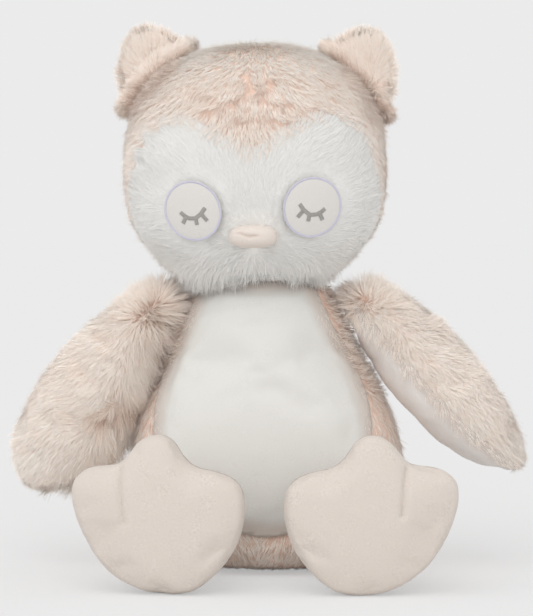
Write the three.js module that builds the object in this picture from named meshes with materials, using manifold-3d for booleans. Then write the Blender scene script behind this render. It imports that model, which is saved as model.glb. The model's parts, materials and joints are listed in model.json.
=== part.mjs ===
// A sitting plush owl with closed eyes, in millimetres, +Z up, front towards -Y.
// The origin is the middle of the flat face that the body sits on.
// Left and right are the owl's own, so its left wing and foot lie towards +X.
import * as THREE from 'three';
import { mergeVertices } from 'three/addons/utils/BufferGeometryUtils.js';
import Module from 'manifold-3d';

const wasm = await Module();
wasm.setup();

// Cloth and seams
const FUR_THICKNESS = 7;
const VELOUR_THICKNESS = 3;
const SEAM_GAP = 0.3;
const FLAT_CUT = 0.5;
const CUT_OVERRUN = 20;

// Body: a pear whose top is a ball that the head sits on
const BODY_HALF_WIDTH = 76;
const BODY_HALF_DEPTH = 62;
const BODY_SQUARENESS = 2.3;
const ROUND_SQUARENESS = 2;
const NECK_BALL_RADIUS = 52;
const NECK_BALL_HEIGHT = 119;
const BODY_LEAN = 6;
// Each row is a height share, a girth share and a share of the neck ball's roundness
const BODY_ROW_SHARES = [
  [0, 0.62, 0],
  [0.04, 0.77, 0],
  [0.12, 0.905, 0],
  [0.24, 0.98, 0],
  [0.4, 1, 0],
  [0.55, 1, 0],
  [0.71, 0.985, 0.15],
  [0.87, 0.955, 0.54],
];

// Belly panel, as seen from the front
const BELLY_HALF_WIDTH = 58;
const BELLY_BOTTOM = 22;
const BELLY_TOP = 156;
const BELLY_SINK = 3;
// Each row is a height share from the bottom to the top and a half-width share
const BELLY_OUTLINE_SHARES = [
  [0, 0],
  [0.03, 0.4],
  [0.12, 0.72],
  [0.3, 0.97],
  [0.48, 0.99],
  [0.66, 0.87],
  [0.84, 0.66],
  [1, 0.5],
];

// Head
const HEAD_HALF_WIDTH = 75;
const HEAD_HALF_DEPTH = 62;
const HEAD_CROWN_RISE = 73;
const HEAD_CHIN_DROP = 66;
const HEAD_CROWN_FULLNESS = 2.4;
const HEAD_CHEEK_FULLNESS = 2.4;
const HEAD_SQUARENESS = 2.2;
const HEAD_ABOVE_NECK = 97;
const HEAD_FORWARD = 3;
const HEAD_ROLL = THREE.MathUtils.degToRad(-1.8);

// White face, two lobes with the brow's peak between them, as seen from the front
const FACE_HALF_WIDTH = 67;
const FACE_LOBE_RISE = 28;
// Each point is a share of the face's half-width and a share of the lobe's rise
const FACE_HALF_OUTLINE_SHARES = [
  [0, 0.3],
  [0.22, 0.6],
  [0.42, 0.93],
  [0.66, 1],
  [0.86, 0.7],
  [0.96, 0.05],
  [1, -0.6],
  [0.93, -1.25],
  [0.72, -1.95],
  [0.6, -2.3],
];

// Ears: rounded cushions that narrow towards the tip and stand more upright than the head's round
const EAR_HALF_BASE = 23.5;
const EAR_HALF_HEIGHT = 27.5;
const EAR_HALF_THICKNESS = 12;
const EAR_STANDOUT = 1;
const EAR_SETBACK = 4;
const EAR_TAPER_SHARE = 0.35;
const EAR_FULLNESS = 2.5;
const EAR_SQUARENESS = 2.3;
const EAR_LEAN = THREE.MathUtils.degToRad(19);

// Eyes: a velour patch, its stitched ring and the stitched closed lid
const EYE_RADIUS = 16.5;
const EYE_HALF_SPACING = 33.5;
const EYE_DROP = 19.5;
const EYE_TURN = THREE.MathUtils.degToRad(24);
const EYE_PATCH_SINK = 2.4;
const EYE_PATCH_THICKNESS = 2;
const EYE_RING_WIDTH = 1.8;
const STITCH_HEIGHT = 1;
const LID_THREAD_WIDTH = 2;
const LID_SPAN = 7.2;
// Each stroke's points are shares of the lid's span, across and up, with the inner end first
const LID_STROKE_SHARES = [
  [[-1, 0.26], [-0.68, -0.15], [-0.24, -0.48], [0.24, -0.48], [0.62, -0.27], [0.85, -0.07]],
  [[-0.68, -0.15], [-1.08, -0.66]],
  [[-0.26, -0.48], [-0.3, -0.94]],
  [[0.46, -0.36], [0.74, -0.86]],
];

// Beak
const BEAK_HALF_WIDTH = 12.8;
const BEAK_HALF_HEIGHT = 6.2;
const BEAK_STANDOUT = 8;
const BEAK_DROP = 34;
const BEAK_FULLNESS = 2.5;

// Wings: a ball root at the shoulder and a flat, swelling blade that hangs from it
const WING_ROOT_RADIUS = 15;
const WING_LENGTH = 125;
const WING_OUTER_EDGE = 27.5;
const WING_INNER_EDGE = 36;
const WING_FUR_BULGE = 25;
const WING_LINING_BULGE = 24;
const WING_ROOT_SINK = 5.5;
const WING_ROOT_RISE = 23;
const WING_ROOT_FULLNESS_SHARE = 0.08;
const WING_SETBACK = -4;
// Each row is a length share, the outer and inner edges' shares and the fur's and lining's bulge shares
const WING_ROW_SHARES = [
  [0.11, 0.74, 0.46, 0.92, 0.8],
  [0.26, 0.92, 0.7, 1, 0.95],
  [0.38, 0.98, 0.83, 1, 1],
  [0.49, 1, 0.9, 0.97, 1],
  [0.61, 0.96, 1, 0.9, 0.98],
  [0.73, 0.87, 0.94, 0.78, 0.9],
  [0.84, 0.69, 0.78, 0.6, 0.73],
  [0.93, 0.42, 0.57, 0.4, 0.46],
  [0.985, 0.05, 0.42, 0.18, 0.18],
];
const WING_TIP_EDGE_SHARE = 0.22;

// Feet: a flat three-toed sole, an upper that narrows to a ball ankle
const FOOT_HALF_WIDTH = 44;
const FOOT_HALF_HEIGHT = 41;
const FOOT_DEPTH = 50;
const SOLE_BULGE = 5;
const ANKLE_RADIUS = 22;
const ANKLE_DROP = 4;
const ANKLE_SINK = 5.5;
const ANKLE_HALF_SPACING = 51;
// Points of the owl's left foot, shares of the half-width and half-height
const FOOT_OUTLINE_SHARES = [
  [0, 1.02],
  [0.23, 0.93],
  [0.36, 0.75],
  [0.46, 0.63],
  [0.73, 0.61],
  [0.94, 0.52],
  [1.02, 0.34],
  [0.98, 0.05],
  [0.88, -0.24],
  [0.7, -0.56],
  [0.41, -0.83],
  [0, -0.97],
  [-0.4, -0.93],
  [-0.78, -0.56],
  [-0.96, -0.15],
  [-0.99, 0.2],
  [-0.92, 0.43],
  [-0.7, 0.54],
  [-0.4, 0.6],
  [-0.27, 0.74],
  [-0.17, 0.94],
];
// Each row is a depth share from the sole's seam, an outline share and an ankle roundness share
const UPPER_ROW_SHARES = [
  [0.16, 1.03, 0],
  [0.36, 1, 0.04],
  [0.58, 0.88, 0.14],
  [0.8, 0.7, 0.45],
];
// Each row is a share of the sole's bulge and an outline share
const SOLE_ROW_SHARES = [
  [0.8, 0.5],
  [0.42, 0.84],
  [0, 1],
];

// How each side is posed in the seated toy
const SIDES = [
  {
    name: 'left',
    sign: 1,
    earAngle: THREE.MathUtils.degToRad(42),
    wingSpread: THREE.MathUtils.degToRad(45.3),
    wingRoll: THREE.MathUtils.degToRad(80),
    footTurn: THREE.MathUtils.degToRad(4),
  },
  {
    name: 'right',
    sign: -1,
    earAngle: THREE.MathUtils.degToRad(47),
    wingSpread: THREE.MathUtils.degToRad(39.5),
    wingRoll: THREE.MathUtils.degToRad(12),
    footTurn: THREE.MathUtils.degToRad(4),
  },
];

// Facets
const BODY_SIDES = 28;
const BALL_RINGS = 5;
const HEAD_RINGS = 14;
const WING_SIDES = 20;
const ROOT_RINGS = 3;
const FOOT_SIDES = 30;
const SMALL_SIDES = 16;
const ROUND_SIDES = 24;
const CURVE_STEPS = 12;

const NECK_CENTRE = new THREE.Vector3(-BODY_LEAN, 0, NECK_BALL_HEIGHT);

// Materials

function cloth(color, roughness) {
  return new THREE.MeshStandardMaterial({ color, roughness, metalness: 0 });
}

const furCloth = () => cloth(0xe6d8cc, 0.95);
const faceCloth = () => cloth(0xe4e4e1, 0.95);
const velourCloth = () => cloth(0xe2e1dc, 0.9);
const eyeCloth = () => cloth(0xe0ded9, 0.85);
const ringThread = () => cloth(0xdedce4, 0.5);
const lidThread = () => cloth(0xafada8, 0.5);
const beakCloth = () => cloth(0xe8dacd, 0.9);
const footCloth = () => cloth(0xdad0c6, 0.9);
const stuffing = () => cloth(0xf4f4f2, 1);

// Solids

function solidOf(geometry) {
  const bare = geometry.index ? geometry.toNonIndexed() : geometry.clone();
  bare.deleteAttribute('normal');
  bare.deleteAttribute('uv');
  const merged = mergeVertices(bare);
  const vertProperties = new Float32Array(merged.attributes.position.array);
  const triVerts = new Uint32Array(merged.index.array);
  return new wasm.Manifold(new wasm.Mesh({ numProp: 3, vertProperties, triVerts }));
}

function meshOf(name, solid, material) {
  const { vertProperties, triVerts } = solid.getMesh();
  const geometry = new THREE.BufferGeometry();
  geometry.setAttribute('position', new THREE.BufferAttribute(new Float32Array(vertProperties), 3));
  geometry.setIndex(new THREE.BufferAttribute(new Uint32Array(triVerts), 1));
  geometry.computeVertexNormals();
  const mesh = new THREE.Mesh(geometry, material);
  mesh.name = name;
  return mesh;
}

// Rings of equal point counts, closed at both ends by a fan round each end's point
function loft(rings, firstPoint, lastPoint) {
  const count = rings[0].length;
  const points = [firstPoint, ...rings.flat(), lastPoint];
  const last = points.length - 1;
  const at = (ring, step) => 1 + ring * count + (step % count);
  const faces = [];
  for (let step = 0; step < count; step += 1) {
    faces.push(0, at(0, step + 1), at(0, step));
    for (let ring = 0; ring + 1 < rings.length; ring += 1) {
      faces.push(at(ring, step), at(ring, step + 1), at(ring + 1, step));
      faces.push(at(ring, step + 1), at(ring + 1, step + 1), at(ring + 1, step));
    }
    faces.push(last, at(rings.length - 1, step), at(rings.length - 1, step + 1));
  }
  const corners = points.flatMap((point) => point.toArray());
  const geometry = new THREE.BufferGeometry();
  geometry.setAttribute('position', new THREE.Float32BufferAttribute(corners, 3));
  geometry.setIndex(faces);
  return geometry;
}

const bent = (value, power) => Math.sign(value) * Math.abs(value) ** (2 / power);

// A level ring round +Z, anticlockwise from above
function levelRing(centre, halfWidth, halfDepth, power, sides) {
  const ring = [];
  for (let step = 0; step < sides; step += 1) {
    const angle = (2 * Math.PI * step) / sides;
    const across = halfWidth * bent(Math.cos(angle), power);
    const along = halfDepth * bent(Math.sin(angle), power);
    ring.push(new THREE.Vector3(centre.x + across, centre.y + along, centre.z));
  }
  return ring;
}

// A ball whose flat facets all lie outside its radius, for hollows
function ball(centre, radius) {
  const cornerRadius = radius / Math.cos(Math.PI / ROUND_SIDES) ** 2;
  const geometry = new THREE.SphereGeometry(cornerRadius, ROUND_SIDES, ROUND_SIDES / 2);
  geometry.translate(centre.x, centre.y, centre.z);
  return solidOf(geometry);
}

function slab(minimum, maximum) {
  const size = new THREE.Vector3().subVectors(maximum, minimum);
  const middle = new THREE.Vector3().addVectors(maximum, minimum).multiplyScalar(1 / 2);
  const geometry = new THREE.BoxGeometry(size.x, size.y, size.z);
  geometry.translate(middle.x, middle.y, middle.z);
  return solidOf(geometry);
}

// A prism that stands on the front view's outline and runs from the middle plane to the front
function frontPrism(outline, reach) {
  const settings = { depth: reach, bevelEnabled: false };
  const geometry = new THREE.ExtrudeGeometry(new THREE.Shape(outline), settings);
  geometry.rotateX(Math.PI / 2);
  return solidOf(geometry);
}

// The outline moved inwards by a distance, point by point; the outline runs anticlockwise
function insetOutline(outline, distance) {
  return outline.map((point, index) => {
    const before = outline[(index + outline.length - 1) % outline.length];
    const after = outline[(index + 1) % outline.length];
    const along = new THREE.Vector2().subVectors(after, before).normalize();
    return new THREE.Vector2(point.x - along.y * distance, point.y + along.x * distance);
  });
}

// Half an outline made whole by its mirror image, anticlockwise
function mirroredOutline(half) {
  const other = half.filter((point) => point.x > 0).reverse();
  return [...half, ...other.map((point) => new THREE.Vector2(-point.x, point.y))];
}

function smoothOutline(points, steps) {
  const curve = new THREE.SplineCurve(points);
  return curve.getPoints(steps);
}

// Body

function bodyForm(inset, sides = BODY_SIDES) {
  const rings = [];
  const rise = (NECK_BALL_HEIGHT - inset) / NECK_BALL_HEIGHT;
  const ballRadius = NECK_BALL_RADIUS - inset;
  for (const [heightShare, girthShare, ballShare] of BODY_ROW_SHARES) {
    const width = THREE.MathUtils.lerp(BODY_HALF_WIDTH * girthShare, NECK_BALL_RADIUS, ballShare);
    const depth = THREE.MathUtils.lerp(BODY_HALF_DEPTH * girthShare, NECK_BALL_RADIUS, ballShare);
    const power = THREE.MathUtils.lerp(BODY_SQUARENESS, ROUND_SQUARENESS, ballShare);
    const height = inset + NECK_BALL_HEIGHT * heightShare * rise;
    const centre = new THREE.Vector3(NECK_CENTRE.x * heightShare, NECK_CENTRE.y * heightShare, height);
    rings.push(levelRing(centre, width - inset, depth - inset, power, sides));
  }
  for (let step = 0; step < BALL_RINGS; step += 1) {
    const angle = (Math.PI / 2) * (step / BALL_RINGS);
    const radius = ballRadius * Math.cos(angle);
    const centre = NECK_CENTRE.clone().setZ(NECK_BALL_HEIGHT + ballRadius * Math.sin(angle));
    rings.push(levelRing(centre, radius, radius, ROUND_SQUARENESS, sides));
  }
  const bottom = new THREE.Vector3(0, 0, inset - FLAT_CUT);
  const top = NECK_CENTRE.clone().setZ(NECK_BALL_HEIGHT + ballRadius);
  return solidOf(loft(rings, bottom, top));
}

function bellyOutline() {
  const half = BELLY_OUTLINE_SHARES.map(([heightShare, widthShare]) => {
    const height = THREE.MathUtils.lerp(BELLY_BOTTOM, BELLY_TOP, heightShare);
    return new THREE.Vector2(BELLY_HALF_WIDTH * widthShare, height);
  });
  return mirroredOutline(smoothOutline(half, CURVE_STEPS)).map((point) => {
    const lean = NECK_CENTRE.x * (point.y / NECK_BALL_HEIGHT);
    return new THREE.Vector2(point.x + lean, point.y);
  });
}

function belowFloor() {
  const reach = BODY_HALF_WIDTH + BODY_HALF_DEPTH + FOOT_DEPTH + FOOT_HALF_WIDTH;
  return slab(new THREE.Vector3(-reach, -reach, -reach), new THREE.Vector3(reach, reach, 0));
}

// Each seat is a round hollow in the body that a limb's ball root turns in
function bodyPieces(seats) {
  const outline = bellyOutline();
  const reach = BODY_HALF_DEPTH + CUT_OVERRUN;
  const lining = bodyForm(FUR_THICKNESS);
  const hollows = seats.map((seat) => ball(seat.centre, seat.radius + SEAM_GAP));
  const withoutSeats = (solid) => hollows.reduce((rest, hollow) => rest.subtract(hollow), solid);
  const fur = bodyForm(0).subtract(lining).subtract(frontPrism(outline, reach)).subtract(belowFloor());
  const panelPrism = frontPrism(insetOutline(outline, SEAM_GAP), reach);
  const panel = bodyForm(BELLY_SINK).subtract(lining).intersect(panelPrism);
  const filling = bodyForm(FUR_THICKNESS + SEAM_GAP, BODY_SIDES / 2);
  return [
    meshOf('body_fur_shell', withoutSeats(fur), furCloth()),
    meshOf('belly_panel', withoutSeats(panel), velourCloth()),
    meshOf('body_filling', withoutSeats(filling), stuffing()),
  ];
}

// Head, in its own frame: the origin is the head's centre

function headForm(inset, sides = BODY_SIDES) {
  const rings = [];
  const crown = HEAD_CROWN_RISE - inset;
  const chin = HEAD_CHIN_DROP - inset;
  for (let step = 1; step < HEAD_RINGS; step += 1) {
    const angle = Math.PI * (step / HEAD_RINGS);
    const upper = angle > Math.PI / 2;
    const fullness = upper ? HEAD_CROWN_FULLNESS : HEAD_CHEEK_FULLNESS;
    const height = -bent(Math.cos(angle), fullness) * (upper ? crown : chin);
    const girthShare = bent(Math.sin(angle), fullness);
    const centre = new THREE.Vector3(0, 0, height);
    const halfWidth = (HEAD_HALF_WIDTH - inset) * girthShare;
    const halfDepth = (HEAD_HALF_DEPTH - inset) * girthShare;
    rings.push(levelRing(centre, halfWidth, halfDepth, HEAD_SQUARENESS, sides));
  }
  return solidOf(loft(rings, new THREE.Vector3(0, 0, -chin), new THREE.Vector3(0, 0, crown)));
}

function faceOutline() {
  const half = FACE_HALF_OUTLINE_SHARES.map(([widthShare, riseShare]) => {
    return new THREE.Vector2(FACE_HALF_WIDTH * widthShare, FACE_LOBE_RISE * riseShare);
  });
  const curve = smoothOutline(half, CURVE_STEPS);
  const chinEdge = new THREE.Vector2(curve[curve.length - 1].x, -HEAD_CHIN_DROP - CUT_OVERRUN);
  const upwards = [chinEdge, ...curve.reverse()];
  return mirroredOutline(upwards);
}

function eyeFrame(sign) {
  const frame = new THREE.Matrix4().makeRotationZ(EYE_TURN * sign);
  const x = EYE_HALF_SPACING * sign;
  const widthShare = EYE_HALF_SPACING / HEAD_HALF_WIDTH;
  const depthShare = (1 - widthShare ** HEAD_SQUARENESS) ** (1 / HEAD_SQUARENESS);
  frame.setPosition(x, -HEAD_HALF_DEPTH * depthShare, -EYE_DROP);
  return frame;
}

// A round bar of the eye's size along the direction that the eye looks in
function eyeBar(radius, sign) {
  const geometry = new THREE.CylinderGeometry(radius, radius, CUT_OVERRUN + CUT_OVERRUN, ROUND_SIDES);
  geometry.applyMatrix4(eyeFrame(sign));
  return solidOf(geometry);
}

function headLayer(outerInset, innerInset) {
  return headForm(outerInset).subtract(headForm(innerInset));
}

// One stitched stroke from point to point: a bar with round ends
function strokeBar(from, to, sign) {
  const run = new THREE.Vector2().subVectors(to, from);
  const radius = LID_THREAD_WIDTH / 2;
  const shape = new THREE.Shape();
  shape.absarc(0, 0, radius, Math.PI / 2, (Math.PI * 3) / 2);
  shape.absarc(run.length(), 0, radius, -Math.PI / 2, Math.PI / 2);
  const settings = { depth: CUT_OVERRUN + CUT_OVERRUN, bevelEnabled: false, curveSegments: ROOT_RINGS };
  const geometry = new THREE.ExtrudeGeometry(shape, settings);
  geometry.translate(0, 0, -CUT_OVERRUN);
  geometry.rotateZ(run.angle());
  geometry.translate(from.x, from.y, 0);
  geometry.rotateX(Math.PI / 2);
  geometry.applyMatrix4(eyeFrame(sign));
  return solidOf(geometry);
}

function lidPoint([acrossShare, upShare], sign) {
  return new THREE.Vector2(acrossShare * LID_SPAN * sign, upShare * LID_SPAN);
}

function closedLid(sign) {
  const bars = [];
  for (const stroke of LID_STROKE_SHARES) {
    for (let index = 0; index + 1 < stroke.length; index += 1) {
      bars.push(strokeBar(lidPoint(stroke[index], sign), lidPoint(stroke[index + 1], sign), sign));
    }
  }
  const pattern = bars.reduce((whole, bar) => whole.add(bar));
  const bottom = EYE_PATCH_SINK - SEAM_GAP;
  return headLayer(bottom - STITCH_HEIGHT, bottom).intersect(pattern);
}

function eyePieces(side) {
  const patchLayer = headLayer(EYE_PATCH_SINK, EYE_PATCH_SINK + EYE_PATCH_THICKNESS);
  const patch = patchLayer.intersect(eyeBar(EYE_RADIUS, side.sign));
  const bottom = EYE_PATCH_SINK - SEAM_GAP;
  const hoop = eyeBar(EYE_RADIUS, side.sign).subtract(eyeBar(EYE_RADIUS - EYE_RING_WIDTH, side.sign));
  const ring = headLayer(bottom - STITCH_HEIGHT, bottom).intersect(hoop);
  return [
    meshOf(`${side.name}_eye_patch`, patch, eyeCloth()),
    meshOf(`${side.name}_eye_ring`, ring, ringThread()),
    meshOf(`${side.name}_closed_lid`, closedLid(side.sign), lidThread()),
  ];
}

// The pile is trimmed away under each eye patch
function eyeHollow(sign) {
  const floor = EYE_PATCH_SINK + EYE_PATCH_THICKNESS + SEAM_GAP;
  return eyeBar(EYE_RADIUS + SEAM_GAP, sign).subtract(headForm(floor));
}

function beakForm() {
  const rings = [];
  for (let step = 1; step < BALL_RINGS + BALL_RINGS; step += 1) {
    const angle = Math.PI * (step / (BALL_RINGS + BALL_RINGS));
    const widthShare = -bent(Math.cos(angle), BEAK_FULLNESS);
    const girthShare = bent(Math.sin(angle), BEAK_FULLNESS);
    const centre = new THREE.Vector3(0, 0, BEAK_HALF_WIDTH * widthShare);
    const halfHeight = BEAK_HALF_HEIGHT * girthShare;
    const standout = BEAK_STANDOUT * girthShare;
    rings.push(levelRing(centre, halfHeight, standout, ROUND_SQUARENESS, SMALL_SIDES));
  }
  const left = new THREE.Vector3(0, 0, -BEAK_HALF_WIDTH);
  const right = new THREE.Vector3(0, 0, BEAK_HALF_WIDTH);
  const geometry = loft(rings, left, right);
  geometry.rotateY(Math.PI / 2);
  const dropShare = BEAK_DROP / HEAD_CHIN_DROP;
  const depthShare = (1 - dropShare ** HEAD_CHEEK_FULLNESS) ** (1 / HEAD_CHEEK_FULLNESS);
  geometry.translate(0, -HEAD_HALF_DEPTH * depthShare, -BEAK_DROP);
  return solidOf(geometry);
}

// The ring made narrower towards the ear's tip and broader towards its base
function taperedRing(ring, sign) {
  return ring.map((point) => {
    const breadthShare = 1 - EAR_TAPER_SHARE * (point.x / EAR_HALF_HEIGHT) * sign;
    return new THREE.Vector3(point.x, point.y * breadthShare, point.z);
  });
}

function earForm(side) {
  const rings = [];
  for (let step = 1; step < BALL_RINGS + BALL_RINGS; step += 1) {
    const angle = Math.PI * (step / (BALL_RINGS + BALL_RINGS));
    const centre = new THREE.Vector3(0, 0, -EAR_HALF_THICKNESS * Math.cos(angle));
    const girthShare = bent(Math.sin(angle), EAR_FULLNESS);
    const halfHeight = EAR_HALF_HEIGHT * girthShare;
    const halfBase = EAR_HALF_BASE * girthShare;
    const ring = levelRing(centre, halfHeight, halfBase, EAR_SQUARENESS, SMALL_SIDES);
    rings.push(taperedRing(ring, side.sign));
  }
  const back = new THREE.Vector3(0, 0, -EAR_HALF_THICKNESS);
  const front = new THREE.Vector3(0, 0, EAR_HALF_THICKNESS);
  const geometry = loft(rings, back, front);
  geometry.rotateX(Math.PI / 2);
  geometry.rotateY(-(side.earAngle + EAR_LEAN) * side.sign);
  const reach = HEAD_HALF_WIDTH + EAR_STANDOUT;
  const x = reach * Math.cos(side.earAngle) * side.sign;
  geometry.translate(x, EAR_SETBACK, reach * Math.sin(side.earAngle));
  return solidOf(geometry);
}

function headPieces(neckBall) {
  const outline = faceOutline();
  const reach = HEAD_HALF_DEPTH + CUT_OVERRUN;
  const shell = headLayer(0, FUR_THICKNESS).subtract(neckBall);
  const fur = shell.subtract(frontPrism(outline, reach));
  let face = shell.intersect(frontPrism(insetOutline(outline, SEAM_GAP), reach));
  for (const side of SIDES) {
    face = face.subtract(eyeHollow(side.sign));
  }
  const outside = headForm(-SEAM_GAP);
  const filling = headForm(FUR_THICKNESS + SEAM_GAP, BODY_SIDES / 2);
  const pieces = [
    meshOf('head_fur_shell', fur, furCloth()),
    meshOf('face_panel', face, faceCloth()),
    meshOf('head_filling', filling.subtract(neckBall), stuffing()),
    meshOf('beak', beakForm().subtract(outside), beakCloth()),
  ];
  for (const side of SIDES) {
    pieces.push(...eyePieces(side));
    pieces.push(meshOf(`${side.name}_ear`, earForm(side).subtract(outside), furCloth()));
  }
  return pieces;
}

// Wing, in its own frame: the origin is the shoulder, the blade hangs towards -Z, fur faces -Y

function shoulderSeat(side) {
  const reach = NECK_BALL_RADIUS + WING_ROOT_RADIUS - WING_ROOT_SINK;
  const out = Math.sqrt(reach ** 2 - WING_ROOT_RISE ** 2 - WING_SETBACK ** 2);
  const offset = new THREE.Vector3(out * side.sign, WING_SETBACK, WING_ROOT_RISE);
  return { centre: offset.add(NECK_CENTRE), radius: WING_ROOT_RADIUS };
}

// A ring round the blade whose front half bulges by one depth and whose back half by another
function bladeRing(centre, halfWidth, frontBulge, backBulge, sides) {
  return levelRing(centre, halfWidth, backBulge, ROUND_SQUARENESS, sides).map((point) => {
    const stretch = point.y < centre.y ? frontBulge / backBulge : 1;
    return new THREE.Vector3(point.x, centre.y + (point.y - centre.y) * stretch, point.z);
  });
}

function wingForm(inset, sign, sides = WING_SIDES) {
  const rings = [];
  const rootRadius = WING_ROOT_RADIUS - inset;
  for (let step = 1; step <= ROOT_RINGS; step += 1) {
    const angle = (Math.PI / 2) * (step / ROOT_RINGS);
    const centre = new THREE.Vector3(0, 0, rootRadius * Math.cos(angle));
    const radius = rootRadius * Math.sin(angle);
    rings.push(bladeRing(centre, radius, radius * (1 + WING_ROOT_FULLNESS_SHARE), radius, sides));
  }
  const length = WING_LENGTH - inset;
  for (const [lengthShare, outerShare, innerShare, furShare, liningShare] of WING_ROW_SHARES) {
    const outer = WING_OUTER_EDGE * outerShare;
    const inner = WING_INNER_EDGE * innerShare;
    const centre = new THREE.Vector3(((outer - inner) / 2) * sign, 0, -length * lengthShare);
    const shrink = 1 - inset / ((WING_OUTER_EDGE + WING_INNER_EDGE) / 2);
    const halfWidth = ((outer + inner) / 2) * shrink;
    const frontBulge = (WING_FUR_BULGE - inset) * furShare;
    const backBulge = (WING_LINING_BULGE - inset) * liningShare;
    rings.push(bladeRing(centre, halfWidth, frontBulge, backBulge, sides));
  }
  const tip = new THREE.Vector3(-WING_INNER_EDGE * WING_TIP_EDGE_SHARE * sign, 0, -length);
  const geometry = loft(rings.reverse(), tip, new THREE.Vector3(0, 0, rootRadius));
  return solidOf(geometry);
}

function wingPieces(side, bodySolid) {
  const seat = shoulderSeat(side);
  const group = new THREE.Group();
  group.position.copy(seat.centre);
  group.rotation.set(0, -side.wingSpread * side.sign, side.wingRoll * side.sign, 'XYZ');
  group.updateMatrixWorld(true);
  const keepOut = bodySolid.transform(group.matrixWorld.clone().invert().toArray());
  const reach = WING_LENGTH + WING_INNER_EDGE;
  const gap = SEAM_GAP / 2;
  const low = new THREE.Vector3(-reach, -reach, -reach);
  const high = new THREE.Vector3(reach, reach, reach);
  const frontHalf = slab(low, high.clone().setY(-gap));
  const backHalf = slab(low.clone().setY(gap), high);
  const hollow = wingForm(FUR_THICKNESS, side.sign);
  const form = wingForm(0, side.sign).subtract(keepOut);
  const filling = wingForm(FUR_THICKNESS + SEAM_GAP, side.sign, WING_SIDES / 2).subtract(keepOut);
  const name = `${side.name}_wing`;
  group.add(meshOf(`${name}_fur`, form.intersect(frontHalf).subtract(hollow), furCloth()));
  group.add(meshOf(`${name}_lining`, form.intersect(backHalf).subtract(hollow), velourCloth()));
  group.add(meshOf(`${name}_filling`, filling, stuffing()));
  return group;
}

// Foot, in its own frame: the origin is the middle of the sole's seam, the sole faces -Y

function footOutline(sign) {
  const points = FOOT_OUTLINE_SHARES.map(([acrossShare, upShare]) => {
    return new THREE.Vector3(FOOT_HALF_WIDTH * acrossShare * sign, 0, FOOT_HALF_HEIGHT * upShare);
  });
  const curve = new THREE.CatmullRomCurve3(sign > 0 ? points : points.reverse(), true);
  return curve.getSpacedPoints(FOOT_SIDES).slice(0, FOOT_SIDES);
}

function ankleCentre() {
  return new THREE.Vector3(0, FOOT_DEPTH, -ANKLE_DROP);
}

// The outline shrunk by a share and drawn towards a circle of the ankle's radius
function footRing(outline, depth, outlineShare, roundShare, inset) {
  return outline.map((point) => {
    const shrink = outlineShare * (1 - inset / FOOT_HALF_HEIGHT);
    const toAnkle = point.clone().normalize().multiplyScalar(ANKLE_RADIUS - inset);
    const x = THREE.MathUtils.lerp(point.x * shrink, toAnkle.x, roundShare);
    const z = THREE.MathUtils.lerp(point.z * shrink, toAnkle.z - ANKLE_DROP, roundShare);
    return new THREE.Vector3(x, depth, z);
  });
}

function footForm(inset, sign) {
  const outline = footOutline(sign);
  const rings = [];
  for (const [bulgeShare, outlineShare] of SOLE_ROW_SHARES) {
    rings.push(footRing(outline, inset - SOLE_BULGE * bulgeShare, outlineShare, 0, inset));
  }
  for (const [depthShare, outlineShare, roundShare] of UPPER_ROW_SHARES) {
    const depth = THREE.MathUtils.lerp(inset, FOOT_DEPTH, depthShare);
    rings.push(footRing(outline, depth, outlineShare, roundShare, inset));
  }
  const ankle = ankleCentre();
  const radius = ANKLE_RADIUS - inset;
  for (let step = 0; step < ROOT_RINGS; step += 1) {
    const angle = (Math.PI / 2) * (step / ROOT_RINGS);
    const shrink = Math.cos(angle);
    const ring = footRing(outline, ankle.y + radius * Math.sin(angle), 1, 1, inset);
    rings.push(ring.map((p) => new THREE.Vector3(p.x * shrink, p.y, ankle.z + (p.z - ankle.z) * shrink)));
  }
  const front = new THREE.Vector3(0, inset - SOLE_BULGE, 0);
  const back = ankle.clone().setY(ankle.y + radius);
  return solidOf(loft(rings, front, back));
}

function footGroup(side) {
  const group = new THREE.Group();
  group.rotation.z = side.footTurn * side.sign;
  const height = FOOT_HALF_HEIGHT - FLAT_CUT;
  const girth = BODY_HALF_DEPTH + ANKLE_RADIUS - ANKLE_SINK;
  const widthShare = ANKLE_HALF_SPACING / (BODY_HALF_WIDTH + ANKLE_RADIUS - ANKLE_SINK);
  const depthShare = (1 - widthShare ** BODY_SQUARENESS) ** (1 / BODY_SQUARENESS);
  const ankle = ankleCentre().applyEuler(group.rotation);
  group.position.set(ANKLE_HALF_SPACING * side.sign - ankle.x, -girth * depthShare - ankle.y, height);
  group.updateMatrixWorld(true);
  return group;
}

function ankleSeat(side) {
  const centre = ankleCentre().applyMatrix4(footGroup(side).matrixWorld);
  return { centre, radius: ANKLE_RADIUS };
}

function footPieces(side, bodySolid) {
  const group = footGroup(side);
  const toFoot = group.matrixWorld.clone().invert().toArray();
  const keepOut = bodySolid.add(belowFloor()).transform(toFoot);
  const reach = FOOT_DEPTH + FOOT_HALF_WIDTH + ANKLE_RADIUS;
  const gap = SEAM_GAP / 2;
  const seam = VELOUR_THICKNESS + gap;
  const low = new THREE.Vector3(-reach, -reach, -reach);
  const high = new THREE.Vector3(reach, reach, reach);
  const frontHalf = slab(low, high.clone().setY(seam - gap));
  const backHalf = slab(low.clone().setY(seam + gap), high);
  const hollow = footForm(VELOUR_THICKNESS, side.sign);
  const form = footForm(0, side.sign).subtract(keepOut);
  const filling = footForm(VELOUR_THICKNESS + SEAM_GAP, side.sign);
  const name = `${side.name}_foot`;
  group.add(meshOf(`${name}_sole`, form.intersect(frontHalf).subtract(hollow), footCloth()));
  group.add(meshOf(`${name}_upper`, form.intersect(backHalf).subtract(hollow), footCloth()));
  group.add(meshOf(`${name}_filling`, filling, stuffing()));
  return group;
}

// The whole owl

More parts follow.
